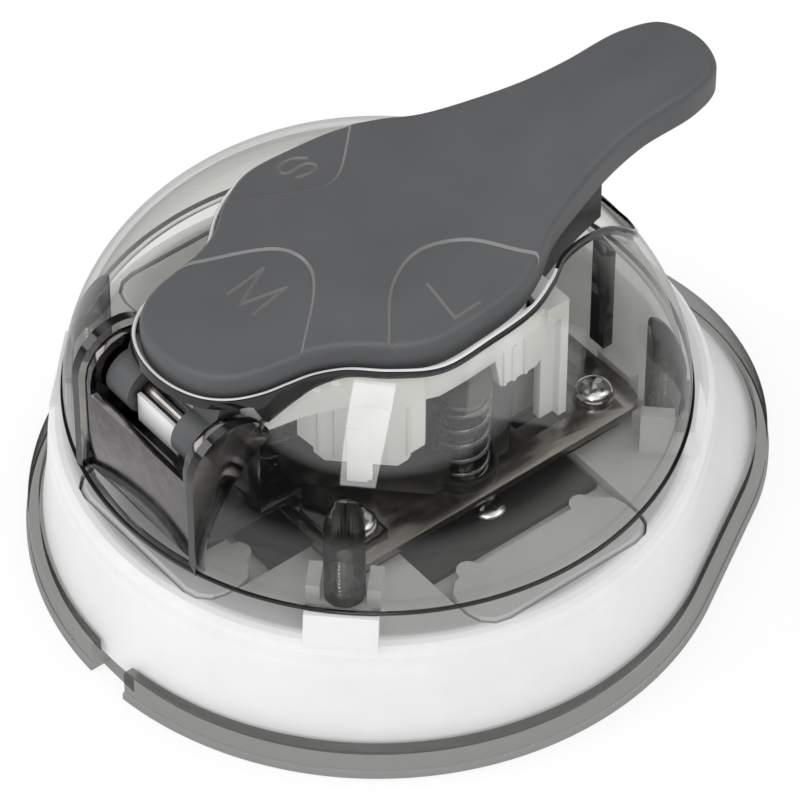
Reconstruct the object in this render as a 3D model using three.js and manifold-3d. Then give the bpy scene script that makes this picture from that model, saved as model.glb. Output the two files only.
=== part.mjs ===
// A desk corner rounder with three punches under one lever, in millimetres with +Z up.
// The origin is on the dome's axis, on the underside of the scrap tray.
// +Y is where the handle points, +X the side of the large radius, -X the small one, -Y the medium one.
import * as THREE from "three";
import { mergeVertices } from "three/addons/utils/BufferGeometryUtils.js";
import Module from "manifold-3d";

// Sizes shared by several pieces
const seat_gap = 0.3;
const running_gap = 0.06;
const overrun = 1;
const weld_distance = 0.0001;
const deck_top = 22;
const card_gap = 1.7;
const plate_thickness = 1.3;

// Scrap tray, whose outline is a round body and a rounder nose under the handle
const plinth_radius = 50;
const nose_radius = 38.7;
const nose_offset = 22.6;
const tray_height = 5.3;
const tray_floor = 1.5;
const tray_rim = 2;
const tray_shelf_width = 2.6;
const tray_shelf_height = 2.9;
const tray_bead_width = 0.35;
const tray_bead_height = 1.4;
const notch_width = 7;
const notch_offset = 2.2;

// Base housing
const skirt_gap = 0.4;
const shoulder_radius = 46;
const shoulder_round = 1.8;
const nose_kept_share = 0.3;
const base_wall = 2;
const deck_thickness = 3.6;
const core_margin = 1;
const core_half_width = 9.7;
const recess_depth = 2;
const dome_screw_reach = 40;
const pad_width = 10.2;
const pad_inner_margin = 3;
const pad_outer_margin = 5.6;
const pad_height = 4.6;
const pad_lean = 1;
const cheek_thickness = 1.9;
const cheek_height = 2.6;
const cheek_outer_margin = 1.6;
const screw_post_radius = 3.5;
const chassis_boss_radius = 3;
const chassis_boss_height = 4.4;
const ridge_inner_x = 14;
const ridge_outer_x = 21;
const ridge_thickness = 1.6;
const ridge_height = 4;
const ridge_gap = 0.25;
const lug_length = 4.5;
const lug_width = 1.6;
const lug_height = 2.8;

// Card tables
const table_half_width = 15.1;
const table_margin = 7.9;
const table_length = 10.2;
const table_corner_share = 0.39;
const table_edge_round = 0.7;
const table_bump_radius = 1.7;
const table_bump_offset = 10;

// Die chassis, dies and chassis screws
const chassis_gap = 0.35;
const chassis_depth = 10;
const flange_gap = 0.5;
const flange_thickness = 1;
const chute_margin = 0.8;
const die_inner_reach = 8;
const die_margin = 9.6;
const die_half_width_l = 8.6;
const die_half_width_ms = 6.5;
const die_thickness = 2;
const die_gap = 0.08;
const chassis_screw_margin = 3.7;
const chassis_screw_length = 6.5;
const chassis_screw_radius = 1.2;
const chassis_head_radius = 2.5;
const chassis_head_height = 0.9;

// Card guide plate and steel top plate
const guide_half_width = 24;
const corner_stop = 11;
const plate_edge_margin = 1.3;
const plate_front = 24.6;
const plate_rear = 28;
const plate_corner = 3;
const plate_screw_x = 19.5;
const plate_screw_front_y = 19.2;
const plate_screw_rear_y = 22.8;
const plate_screw_radius = 1.5;
const plate_screw_length = 7;
const plate_head_radius = 2.87;
const plate_head_height = 1.9;
const screw_gap = 0.1;
const blade_gap = 0.12;

// Punches, which cut the corner beyond an arc that is tangent to both edges of the card
const corner_radius_l = 8;
const corner_radius_m = 5;
const corner_radius_s = 3;
const punch_lap = 1;
const punch_horn = 0.45;
const punch_side = 0.75;
const punch_rise = 0.05;
const punch_shoulder = 35.5;
const tang_height = 3;
const tang_side_gap = 0.1;
const tang_setback = 0.4;

// Guide block, springs, guide posts and punch carriers
const block_half_width = 20.5;
const block_cut_reach = 19.1;
const block_height = 4.7;
const pocket_gap = 0.3;
const spring_margin = 7.6;
const spring_radius = 3.5;
const wire_radius = 0.4;
const spring_height = 15.2;
const end_pitch = 1.4;
const spring_hole_gap = 0.4;
const collar_wall = 0.8;
const collar_height = 1.4;
const post_radius = 1.5;
const post_top = 36.4;
const carrier_beam = 2.2;
const carrier_beam_width = 4;
const carrier_inner_gap = 0.6;
const sleeve_radius = 2.2;
const sleeve_length = 8.2;

// Hinge bracket and pin
const hinge_y = -35.4;
const hinge_z = 44;
const pin_radius = 1.5;
const pin_overhang = 0.35;
const pin_chamfer = 0.3;
const sheet = 1.2;
const bracket_half_width = 11.5;
const ear_radius = 6;
const bracket_bottom = 27.8;
const bracket_front_top = 42;
const web_rear_y = 22.4;
const web_notch_half_width = 5;
const web_notch_y = 26;
const foot_y = 20.8;
const foot_half_width = 22.5;
const foot_tab_inner_x = 16.6;
const foot_tab_y = 16.2;

// Lever cover
const lever_half_width = 21.1;
const lever_front_overhang = 3;
const lever_reach = 57.7;
const lever_top = 55.5;
const handle_rise = 3.5;
const rise_start = 15;
const cover_depth = 5;
const cover_round = 2;
const cover_wall = 2;
const cover_roof = 2.5;
const crown = 0.5;
const knuckle_radius = 3.8;
const knuckle_inner_x = 4.8;
const knuckle_outer_x = 10;

// Lever body
const body_gap = 0.3;
const body_wall = 1.6;
const body_plate = 2;
const skirt_lift = 0.9;
const body_skirt_inset = 1;
const body_skirt_front_y = 28;
const body_front_y = 30.6;
const body_full_rear = 34;
const body_tongue_rear = 49;
const saddle_half_width = 4.4;
const saddle_front = 2.4;
const saddle_depth = 4.2;
const saddle_lip = 0.8;
const nose_gap = 0.3;
const nose_width = 2;
const nose_inner_x = 10.5;
const nose_outer_x = 18;
const nose_m_y = 12;
const nose_m_half_width = 3.4;
const front_leg_reach = 19.3;
const front_leg_thickness = 1.1;
const front_leg_half_width = 8.7;
const front_leg_mid_half_width = 6.5;
const front_leg_tongue_half_width = 1.5;
const front_leg_top = 50;
const front_leg_step = 36;
const front_leg_mid = 31.4;
const front_leg_bottom = 28.2;
const rear_leg_inner_x = 16.2;
const rear_leg_outer_x = 20;
const rear_leg_front_y = 13.6;
const rear_leg_rear_y = 17.4;
const rear_leg_web = 1.4;
const rear_leg_bottom = 25.6;
const rear_wing_inner_x = 17.8;
const rear_wing_outer_x = 19.4;
const rear_wing_front_y = 4.8;
const rear_wing_bottom = 37.2;
const rear_wing_chamfer = 1.4;
const rear_leg_slot_gap = 0.5;
const rear_leg_slot_front_y = 10.15;
const arm_bottom = 44.5;
const arm_top = 47.6;
const arm_inner_x = 11;
const lever_screw_front_y = 24;
const lever_screw_rear_y = 16;
const lever_screw_radius = 1.2;
const lever_screw_reach = 1.6;
const lever_head_radius = 2.4;
const lever_head_height = 1.4;

// Dome cover and its screws
const dome_radius = 43.8;
const dome_foot = 0.8;
const dome_rise = 28.5;
const dome_wall = 1.2;
const rim_radius = 44.2;
const rim_height = 1;
const opening_gap = 1.4;
const slot_half_width = 9.5;
const slot_rear_y = 40;
const slot_corner = 4.5;
const slot_front_y = 30;
const lip_width = 1.2;
const lip_height = 0.8;
const window_gap = 0.5;
const cheek_wall = 1.4;
const cheek_gap = 0.7;
const boss_radius = 2.85;
const boss_hole_radius = 1.35;
const boss_hole_depth = 8;
const dome_screw_radius = 1.25;
const dome_screw_entry = 7.4;
const dome_head_radius = 2.5;
const dome_head_height = 1.5;
const rib_inner_x = 11.5;
const rib_outer_x = 13.5;
const rib_front_y = 28.4;
const rib_rear_y = 30;
const rib_bottom = 27;

// Counts
const outline_steps = 64;
const dome_steps = 56;
const dome_rows = 7;
const lever_steps = 48;
const round_steps = 3;
const screw_steps = 12;
const bore_steps = 20;
const pin_steps = 24;
const arc_steps = 8;
const coil_steps = 8;
const coil_sides = 5;
const coil_turns = 4;
const end_turns = 1;

// Half of the lever's outline from its front to the tip of its handle, as shares of its
// half width and of its reach to the front or to the handle's tip
const lever_outline_shares = [
  [0, -1],
  [0.265, -0.969],
  [0.479, -0.898],
  [0.545, -0.781],
  [0.592, -0.615],
  [0.692, -0.461],
  [0.877, -0.3125],
  [0.995, -0.174],
  [1, 0.017],
  [0.948, 0.153],
  [0.796, 0.248],
  [0.635, 0.326],
  [0.498, 0.444],
  [0.389, 0.579],
  [0.365, 0.693],
  [0.374, 0.867],
  [0.284, 0.962],
  [0, 1],
];
const crown_shares = [0.72, 0.4, 0.1];
const crown_length_share = 0.8;
const first_row_share = 0.4;
const head_edge_share = 0.5;
const head_slope_share = 0.83;
const leg_corner_share = 0.77;

// Lengths that follow from the sizes above
const deck_bottom = deck_top - deck_thickness;
const recess_floor = deck_top - recess_depth;
const plate_bottom = deck_top + card_gap;
const plate_top = plate_bottom + plate_thickness;
const pad_top = deck_top + pad_height;
const block_top = plate_top + block_height;
const spring_top = plate_top + spring_height;
const beam_top = spring_top + carrier_beam;
const body_skirt_bottom = beam_top + skirt_lift;
const body_plate_top = lever_top - cover_roof;
const body_plate_bottom = body_plate_top - body_plate;
const dome_base = pad_top + dome_foot;
const hinge_ear_y = hinge_y + ear_radius;
const bracket_front_y = hinge_y - ear_radius;
const lever_front_reach = lever_front_overhang - hinge_y;
const die_outer_reach = corner_stop + die_margin;
const core_reach = die_outer_reach + core_margin;
const chassis_screw_reach = die_outer_reach + chassis_screw_margin;
const table_inner_reach = chassis_screw_reach + table_margin;
const spring_reach = corner_stop + spring_margin;
const spring_hole_radius = spring_radius + wire_radius + spring_hole_gap;
const collar_radius = spring_hole_radius + collar_wall;
const plate_half_width = spring_reach + collar_radius + plate_edge_margin;
const table_outer_reach = table_inner_reach + table_length;
const pad_inner_reach = dome_screw_reach - pad_inner_margin;
const pad_outer_reach = dome_screw_reach + pad_outer_margin;
const cheek_outer_reach = dome_screw_reach + cheek_outer_margin;
const table_corner = table_length * table_corner_share;
const quarter = Math.PI / 2;
const quarter_turn = THREE.MathUtils.radToDeg(quarter);
const eighth = Math.PI / 4;

const wasm = await Module();
wasm.setup();

// Solids

function solid(geometry) {
  const loose = geometry.index ? geometry.toNonIndexed() : geometry;
  const bare = new THREE.BufferGeometry();
  bare.setAttribute("position", loose.getAttribute("position"));
  const merged = mergeVertices(bare, weld_distance);
  const mesh = new wasm.Mesh({
    numProp: 3,
    vertProperties: new Float32Array(merged.attributes.position.array),
    triVerts: new Uint32Array(merged.index.array),
  });
  return new wasm.Manifold(mesh);
}

function geometryOf(shape) {
  const mesh = shape.getMesh();
  const geometry = new THREE.BufferGeometry();
  geometry.setAttribute("position", new THREE.BufferAttribute(mesh.vertProperties, 3));
  geometry.setIndex(new THREE.BufferAttribute(mesh.triVerts, 1));
  const flat = geometry.toNonIndexed();
  flat.computeVertexNormals();
  return flat;
}

function join(...shapes) {
  return shapes.flat().reduce((all, shape) => all.add(shape));
}

function cut(shape, ...cutters) {
  return cutters.flat().reduce((left, cutter) => left.subtract(cutter), shape);
}

function box(x0, x1, y0, y1, z0, z1) {
  const geometry = new THREE.BoxGeometry(x1 - x0, y1 - y0, z1 - z0);
  geometry.translate((x0 + x1) / 2, (y0 + y1) / 2, (z0 + z1) / 2);
  return solid(geometry);
}

function cylinder(x, y, z0, z1, radius, steps = screw_steps, top_radius = radius) {
  const geometry = new THREE.CylinderGeometry(top_radius, radius, z1 - z0, steps);
  geometry.rotateX(quarter);
  geometry.translate(x, y, (z0 + z1) / 2);
  return solid(geometry);
}

function cylinderAlongX(x0, x1, y, z, radius, steps = pin_steps) {
  const geometry = new THREE.CylinderGeometry(radius, radius, x1 - x0, steps);
  geometry.rotateZ(-quarter);
  geometry.translate((x0 + x1) / 2, y, z);
  return solid(geometry);
}

function extruded(points, depth) {
  const shape = new THREE.Shape(points.map(([u, v]) => new THREE.Vector2(u, v)));
  return new THREE.ExtrudeGeometry(shape, { depth, bevelEnabled: false });
}

// An outline in x and y between two heights.
function prism(points, z0, z1) {
  const geometry = extruded(points, z1 - z0);
  geometry.translate(0, 0, z0);
  return solid(geometry);
}

// An outline in y and z between two places along x.
function prismAlongX(points, x0, x1) {
  const geometry = extruded(points, x1 - x0);
  const turn = new THREE.Matrix4().makeBasis(
    new THREE.Vector3(0, 1, 0),
    new THREE.Vector3(0, 0, 1),
    new THREE.Vector3(1, 0, 0),
  );
  geometry.applyMatrix4(turn);
  geometry.translate(x0, 0, 0);
  return solid(geometry);
}

// A closed profile of radius and height turned about the vertical axis.
function turned(points, steps) {
  const profile = points.map(([r, z]) => new THREE.Vector2(r, z));
  const geometry = new THREE.LatheGeometry([...profile, profile[0]], steps);
  geometry.rotateX(quarter);
  return solid(geometry);
}

// A skin over rings of points, from the lowest ring to the highest, closed with a cap at each end.
function skinned(rings) {
  const count = rings[0].length;
  const places = rings.flat().flat();
  const flat_ring = (ring) => ring.map(([x, y]) => new THREE.Vector2(x, y));
  const faces = [];
  for (let row = 0; row + 1 < rings.length; row++) {
    for (let step = 0; step < count; step++) {
      const a = row * count + step;
      const b = row * count + ((step + 1) % count);
      faces.push(a, b, b + count, a, b + count, a + count);
    }
  }
  const last = (rings.length - 1) * count;
  for (const [a, b, c] of THREE.ShapeUtils.triangulateShape(flat_ring(rings[0]), [])) {
    faces.push(a, c, b);
  }
  for (const [a, b, c] of THREE.ShapeUtils.triangulateShape(flat_ring(rings.at(-1)), [])) {
    faces.push(last + a, last + b, last + c);
  }
  const geometry = new THREE.BufferGeometry();
  geometry.setAttribute("position", new THREE.Float32BufferAttribute(places, 3));
  geometry.setIndex(faces);
  return solid(geometry);
}

function arc(cx, cy, radius, from, to, steps) {
  return Array.from({ length: steps + 1 }, (_, step) => {
    const angle = from + ((to - from) * step) / steps;
    return [cx + radius * Math.cos(angle), cy + radius * Math.sin(angle)];
  });
}

function roundedRectangle(x0, x1, y0, y1, radius) {
  return [
    ...arc(x1 - radius, y0 + radius, radius, -quarter, 0, round_steps),
    ...arc(x1 - radius, y1 - radius, radius, 0, quarter, round_steps),
    ...arc(x0 + radius, y1 - radius, radius, quarter, 2 * quarter, round_steps),
    ...arc(x0 + radius, y0 + radius, radius, 2 * quarter, 3 * quarter, round_steps),
  ];
}

// A shape built for the large side, turned to the side that an angle gives.
function turnedTo(shape, quarter_turns) {
  return shape.rotate([0, 0, quarter_turns * quarter_turn]);
}

function mirroredPair(shape) {
  return join(shape, shape.mirror([1, 0, 0]));
}

// Outlines

// The tray's outline seen from the origin: the round body, a straight side and the nose's arc.
function plinthRadius(angle, inset) {
  const body = plinth_radius - inset;
  const nose = nose_radius - inset;
  const side = Math.asin((body - nose) / nose_offset);
  const folded = Math.asin(Math.sin(angle));
  const side_end = Math.atan2(nose_offset + nose * Math.sin(side), nose * Math.cos(side));
  if (folded <= side) return body;
  if (folded <= side_end) return body / Math.cos(folded - side);
  const across = nose_offset * Math.cos(folded);
  return nose_offset * Math.sin(folded) + Math.sqrt(nose ** 2 - across ** 2);
}

function ringOf(radiusAt, z, steps = outline_steps) {
  return Array.from({ length: steps }, (_, step) => {
    const angle = (2 * Math.PI * step) / steps;
    const radius = radiusAt(angle);
    return [radius * Math.cos(angle), radius * Math.sin(angle), z];
  });
}

const skirt_inset = tray_rim + skirt_gap;

// The housing's radius at a height share: it narrows fast at first, most of all at the nose.
function housingRadius(angle, share) {
  const foot = plinthRadius(angle, skirt_inset);
  const body_foot = plinth_radius - skirt_inset;
  const top = shoulder_radius + nose_kept_share * (foot - body_foot);
  return foot + (top - foot) * (1 - (1 - share) ** 2);
}

function leverPoint([x, y]) {
  const reach = y < 0 ? lever_front_reach : lever_reach;
  return new THREE.Vector3(x * lever_half_width, y * reach, 0);
}

const left_shares = lever_outline_shares.slice(1, -1).reverse();
const lever_curve = new THREE.CatmullRomCurve3(
  [...lever_outline_shares, ...left_shares.map(([x, y]) => [-x, y])].map(leverPoint),
  true,
  "centripetal",
);

// The lever's outline moved outwards by a distance, or inwards by a negative one.
function leverOutline(grow) {
  return Array.from({ length: lever_steps }, (_, step) => {
    const share = step / lever_steps;
    const point = lever_curve.getPointAt(share);
    const along = lever_curve.getTangentAt(share);
    return [point.x + grow * along.y, point.y - grow * along.x];
  });
}

function leverTopAt(y) {
  const share = THREE.MathUtils.smoothstep(y, rise_start, lever_reach);
  return lever_top + handle_rise * share;
}

function leverRing(grow, drop) {
  return leverOutline(grow).map(([x, y]) => [x, y, leverTopAt(y) - drop]);
}

// The punch for one corner radius, as a prism on the large side, grown by a clearance.
function punchPrism(radius, grow, z0, z1) {
  const tangent = radius * Math.SQRT1_2;
  const centre = corner_stop + radius * Math.SQRT2;
  const inner = corner_stop - punch_lap - grow;
  const outer = corner_stop + tangent + punch_horn + grow;
  const half = tangent + punch_side + grow;
  const cut_radius = radius - grow;
  const angle = Math.acos((centre - outer) / cut_radius);
  const edge = arc(centre, 0, cut_radius, Math.PI + angle, Math.PI - angle, arc_steps);
  return prism([[inner, -half], [outer, -half], ...edge, [outer, half], [inner, half]], z0, z1);
}

const sides = [
  { name: "l", turns: 0, radius: corner_radius_l, die_half: die_half_width_l },
  { name: "m", turns: -1, radius: corner_radius_m, die_half: die_half_width_ms },
  { name: "s", turns: 2, radius: corner_radius_s, die_half: die_half_width_ms },
];

const plate_screw_places = [
  [plate_screw_x, -plate_screw_front_y],
  [plate_screw_x, plate_screw_rear_y],
  [-plate_screw_x, plate_screw_rear_y],
  [-plate_screw_x, -plate_screw_front_y],
];

const lever_screw_places = [-lever_screw_front_y, lever_screw_rear_y];

const diagonals = [eighth, 3 * eighth, 5 * eighth, 7 * eighth];

function onDiagonal(angle) {
  return [dome_screw_reach * Math.cos(angle), dome_screw_reach * Math.sin(angle)];
}

// The slots that the lever's rear legs drop through.
function rearLegSlots(z0, z1) {
  const x0 = rear_leg_inner_x - rear_leg_slot_gap;
  const x1 = rear_leg_outer_x + rear_leg_slot_gap;
  const y1 = rear_leg_rear_y + rear_leg_slot_gap;
  return mirroredPair(box(x0, x1, rear_leg_slot_front_y, y1, z0, z1));
}

// A pan-head screw standing on a face, its shank going down, or the same turned over.
function screw(x, y, face, length, radius, head_radius, head_height, up = 1) {
  const edge = head_height * head_edge_share;
  const inner = head_radius - edge;
  const profile = [[0, -length], [radius, -length], [radius, 0], [head_radius, 0], [head_radius, edge]];
  profile.push([(head_radius + inner) / 2, head_height * head_slope_share]);
  profile.push([inner, head_height], [0, head_height]);
  const placed = profile.map(([r, z]) => [r, up * z]);
  if (up < 0) placed.reverse();
  return turned(placed, screw_steps).translate([x, y, face]);
}

// Pieces of the base

function scrapTray() {
  const wall = skinned([
    ringOf((angle) => plinthRadius(angle, 0), 0),
    ringOf((angle) => plinthRadius(angle, 0), tray_bead_height),
    ringOf((angle) => plinthRadius(angle, tray_bead_width), tray_bead_height),
    ringOf((angle) => plinthRadius(angle, tray_bead_width), tray_height),
  ]);
  const seat = skinned([
    ringOf((angle) => plinthRadius(angle, tray_rim), tray_shelf_height),
    ringOf((angle) => plinthRadius(angle, tray_rim), tray_height + overrun),
  ]);
  const shelf = tray_rim + tray_shelf_width;
  const hollow = skinned([
    ringOf((angle) => plinthRadius(angle, shelf), tray_floor),
    ringOf((angle) => plinthRadius(angle, shelf), tray_height),
  ]);
  const half = notch_width / 2;
  const notch_y = -plinth_radius;
  const notch = box(
    notch_offset - half,
    notch_offset + half,
    notch_y - overrun,
    notch_y + tray_rim + skirt_gap,
    -overrun,
    tray_height + overrun,
  );
  return cut(wall, seat, hollow, notch);
}

function baseBody() {
  const rise = deck_top - tray_shelf_height;
  const straight_top = deck_top - shoulder_round;
  const rings = [];
  for (let step = 0; step <= round_steps; step++) {
    const z = tray_shelf_height + ((straight_top - tray_shelf_height) * step) / round_steps;
    const share = (z - tray_shelf_height) / rise;
    rings.push(ringOf((angle) => housingRadius(angle, share), z));
  }
  for (let step = 1; step <= round_steps; step++) {
    const turn = (quarter * step) / round_steps;
    const z = straight_top + shoulder_round * Math.sin(turn);
    const inset = shoulder_round * (1 - Math.cos(turn));
    rings.push(ringOf((angle) => housingRadius(angle, 1) - inset, z));
  }
  const hollow_rings = [ringOf((angle) => housingRadius(angle, 0) - base_wall, tray_shelf_height - overrun)];
  for (let step = 0; step < round_steps; step++) {
    const z = tray_shelf_height + ((deck_bottom - tray_shelf_height) * step) / (round_steps - 1);
    const share = (z - tray_shelf_height) / rise;
    hollow_rings.push(ringOf((angle) => housingRadius(angle, share) - base_wall, z));
  }
  return cut(skinned(rings), skinned(hollow_rings));
}

// A pad under the dome's rim, with the two cheeks that hold the dome's boss.
function domePad(angle) {
  const half = pad_width / 2;
  const lap = shoulder_round;
  const profile = [
    [pad_inner_reach, -lap],
    [pad_outer_reach, -lap],
    [pad_outer_reach, 0],
    [pad_outer_reach - pad_lean, pad_height],
    [pad_inner_reach, pad_height],
  ];
  const upright = prismAlongX(
    profile.map(([reach, z]) => [reach, deck_top + z]),
    -half,
    half,
  ).rotate([0, 0, -quarter_turn]);
  const cheek = box(
    pad_inner_reach,
    cheek_outer_reach,
    half - cheek_thickness,
    half,
    pad_top - seat_gap,
    pad_top + cheek_height,
  );
  const pad = join(upright, cheek, cheek.mirror([0, 1, 0]));
  return pad.rotate([0, 0, THREE.MathUtils.radToDeg(angle)]);
}

function coreOpening(grow, z0, z1) {
  const reach = core_reach - grow;
  const half = core_half_width - grow;
  return join(box(-reach, reach, -half, half, z0, z1), box(-half, half, -reach, half, z0, z1));
}

const table_gap = seat_gap;

function baseHousing() {
  const posts = plate_screw_places.map(([x, y]) =>
    cylinder(x, y, recess_floor, plate_bottom, screw_post_radius, bore_steps),
  );
  const post_holes = plate_screw_places.map(([x, y]) =>
    cylinder(x, y, deck_bottom - overrun, plate_bottom + overrun, plate_screw_radius + screw_gap),
  );
  const pads = diagonals.map(domePad);
  const pad_holes = diagonals.map((angle) =>
    cylinder(...onDiagonal(angle), deck_bottom - overrun, pad_top + overrun, boss_hole_radius),
  );
  const ridge_y = plate_rear + ridge_gap;
  const ridge_top = deck_top + ridge_height;
  const ridges = mirroredPair(
    box(ridge_inner_x, ridge_outer_x, ridge_y, ridge_y + ridge_thickness, recess_floor, ridge_top),
  );
  const lug_x = plate_half_width + ridge_gap;
  const lug_y = plate_rear - plate_corner;
  const lugs = mirroredPair(
    box(lug_x, lug_x + lug_length, lug_y, lug_y + lug_width, recess_floor, deck_top + lug_height),
  );
  const boss = cylinder(
    chassis_screw_reach,
    0,
    deck_bottom - chassis_boss_height,
    deck_bottom + overrun,
    chassis_boss_radius,
  );
  const boss_hole = cylinder(
    chassis_screw_reach,
    0,
    deck_bottom - chassis_boss_height - overrun,
    deck_top,
    chassis_screw_radius + screw_gap,
  );
  const half = table_half_width + table_gap;
  const recess = prism(
    roundedRectangle(core_reach, table_outer_reach + table_gap, -half, half, table_corner + table_gap),
    recess_floor,
    deck_top + overrun,
  );
  const square_end = box(core_reach, table_inner_reach, -half, half, recess_floor, deck_top + overrun);
  const doorway = box(
    core_reach - overrun,
    core_reach + overrun,
    -core_half_width,
    core_half_width,
    recess_floor,
    deck_top + overrun,
  );
  const body = join(baseBody(), posts, pads, ridges, lugs);
  const bosses = sides.map((side) => turnedTo(boss, side.turns));
  const cutters = sides.flatMap((side) =>
    [boss_hole, recess, square_end, doorway].map((cutter) => turnedTo(cutter, side.turns)),
  );
  return cut(
    join(body, bosses),
    cutters,
    post_holes,
    pad_holes,
    coreOpening(0, deck_bottom - overrun, deck_top + overrun),
    rearLegSlots(deck_bottom - overrun, deck_top + overrun),
  );
}

function cardTable() {
  const flat_top = deck_top - table_edge_round;
  const half = table_half_width;
  const outline = (inset) => roundedRectangle(
    table_inner_reach,
    table_outer_reach - inset,
    -half + inset / 2,
    half - inset / 2,
    table_corner,
  );
  const lower = prism(outline(0), recess_floor, flat_top);
  const rings = [outline(0), outline(table_edge_round / 2), outline(table_edge_round)];
  const heights = [flat_top, flat_top + table_edge_round * Math.SQRT1_2, deck_top];
  const upper = skinned(rings.map((ring, row) => ring.map(([x, y]) => [x, y, heights[row]])));
  const bumps = [-table_bump_offset, table_bump_offset].map((y) =>
    cylinder(table_inner_reach, y, recess_floor, deck_top, table_bump_radius),
  );
  return join(lower, upper, bumps);
}

// The black chassis that carries the dies and guides the scraps down into the tray.
function dieChassis() {
  const half = core_half_width - chassis_gap;
  const flange_top = recess_floor + flange_thickness;
  const start = core_reach + chassis_gap;
  const flange_half = table_half_width - chassis_gap;
  const bridge = box(core_reach - overrun, start + overrun, -half, half, recess_floor, flange_top);
  const flange_end = table_inner_reach - table_bump_radius - flange_gap;
  const flange = box(start, flange_end, -flange_half, flange_half, recess_floor, flange_top);
  const hole = cylinder(
    chassis_screw_reach,
    0,
    recess_floor - overrun,
    flange_top + overrun,
    chassis_screw_radius + screw_gap,
  );
  const core = coreOpening(chassis_gap, deck_top - chassis_depth, deck_top);
  const flanges = sides.map((side) => turnedTo(join(bridge, flange), side.turns));
  const cutters = sides.flatMap(({ turns, radius, die_half }) => [
    turnedTo(hole, turns),
    turnedTo(punchPrism(radius, chute_margin, deck_top - chassis_depth - overrun, deck_top), turns),
    turnedTo(
      box(
        die_inner_reach - die_gap,
        die_outer_reach + die_gap,
        -die_half - die_gap,
        die_half + die_gap,
        deck_top - die_thickness,
        deck_top + overrun,
      ),
      turns,
    ),
  ]);
  return cut(join(core, flanges), cutters);
}

function die({ turns, radius, die_half }) {
  const die_floor = deck_top - die_thickness;
  const blank = box(die_inner_reach, die_outer_reach, -die_half, die_half, die_floor, deck_top);
  const hole = punchPrism(radius, die_gap, recess_floor - overrun, deck_top + overrun);
  return turnedTo(cut(blank, hole), turns);
}

// Pieces of the head

// The plate that stops the card: a right-angled notch on each side centres its corner.
function cardGuidePlate() {
  const w = guide_half_width;
  const blank = box(-w, w, -w, w, deck_top, plate_bottom);
  const reach = w + overrun;
  const mouth = reach - corner_stop;
  const low = deck_top - overrun;
  const high = plate_bottom + overrun;
  const notch = prism([[corner_stop, 0], [reach, -mouth], [reach, mouth]], low, high);
  const notches = sides.flatMap(({ turns, radius }) => [
    turnedTo(notch, turns),
    turnedTo(punchPrism(radius, pocket_gap, low, high), turns),
  ]);
  const post_holes = plate_screw_places.map(([x, y]) =>
    cylinder(x, y, low, high, screw_post_radius + seat_gap, bore_steps),
  );
  return cut(blank, notches, post_holes, rearLegSlots(low, high));
}

function topPlate() {
  const blank = prism(
    roundedRectangle(-plate_half_width, plate_half_width, -plate_front, plate_rear, plate_corner),
    plate_bottom,
    plate_top,
  );
  const low = plate_bottom - overrun;
  const high = plate_top + overrun;
  const screw_holes = plate_screw_places.map(([x, y]) =>
    cylinder(x, y, low, high, plate_screw_radius + screw_gap),
  );
  const punch_holes = sides.map(({ turns, radius }) =>
    turnedTo(punchPrism(radius, blade_gap, low, high), turns),
  );
  const post_hole = cylinder(spring_reach, 0, low, high, post_radius + running_gap, bore_steps);
  const post_holes = sides.map(({ turns }) => turnedTo(post_hole, turns));
  return cut(blank, screw_holes, punch_holes, post_holes, rearLegSlots(low, high));
}

function guideBlock() {
  const w = block_half_width;
  const c = block_cut_reach * Math.SQRT2 - w;
  const outline = [[w, -c], [w, c], [c, w], [-c, w], [-w, c], [-w, -c], [-c, -w], [c, -w]];
  const blank = prism(outline, plate_top, block_top);
  const collar = cylinder(
    spring_reach,
    0,
    plate_top,
    plate_top + collar_height,
    collar_radius,
    bore_steps,
  );
  const low = plate_top - overrun;
  const high = block_top + overrun;
  const hole = cylinder(spring_reach, 0, low, high, spring_hole_radius, bore_steps);
  const collars = sides.map(({ turns }) => turnedTo(collar, turns));
  const cutters = sides.flatMap(({ turns, radius }) => [
    turnedTo(hole, turns),
    turnedTo(punchPrism(radius, pocket_gap, low, high), turns),
  ]);
  return cut(join(blank, collars), cutters, rearLegSlots(low, high));
}

function tangBox(radius, gap) {
  const inner = corner_stop - punch_lap + tang_setback;
  const outer = corner_stop + radius * (Math.SQRT2 - 1) - tang_setback;
  const half = radius * Math.SQRT1_2 + punch_side - tang_setback;
  const low = punch_shoulder - overrun;
  const high = punch_shoulder + tang_height;
  return box(inner - gap, outer + gap, -half - gap, half + gap, low, high + gap);
}

function punch({ turns, radius }) {
  const blade = punchPrism(radius, 0, plate_bottom + punch_rise, punch_shoulder);
  return turnedTo(join(blade, tangBox(radius, 0)), turns);
}

// The slide that the lever pushes: it holds the blade and runs on the post inside the spring.
function punchCarrier({ turns, radius }) {
  const tangent = radius * Math.SQRT1_2;
  const inner = corner_stop - punch_lap - carrier_inner_gap;
  const outer = corner_stop + tangent;
  const half = tangent + punch_side;
  const beam_half = carrier_beam_width / 2;
  const block = box(inner, outer, -half, half, punch_shoulder, beam_top);
  const beam = box(inner, spring_reach, -beam_half, beam_half, spring_top, beam_top);
  const cap = cylinder(spring_reach, 0, spring_top, beam_top, spring_radius + wire_radius, bore_steps);
  const sleeve = cylinder(spring_reach, 0, spring_top - sleeve_length, beam_top, sleeve_radius, bore_steps);
  const bore = cylinder(
    spring_reach,
    0,
    spring_top - sleeve_length - overrun,
    beam_top + overrun,
    post_radius + running_gap,
    bore_steps,
  );
  const spring_side = cylinder(
    spring_reach,
    0,
    punch_shoulder - overrun,
    spring_top,
    spring_hole_radius,
    bore_steps,
  );
  const carried = join(cut(block, spring_side, tangBox(radius, tang_side_gap)), beam, cap, sleeve);
  return turnedTo(cut(carried, bore), turns);
}

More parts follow.
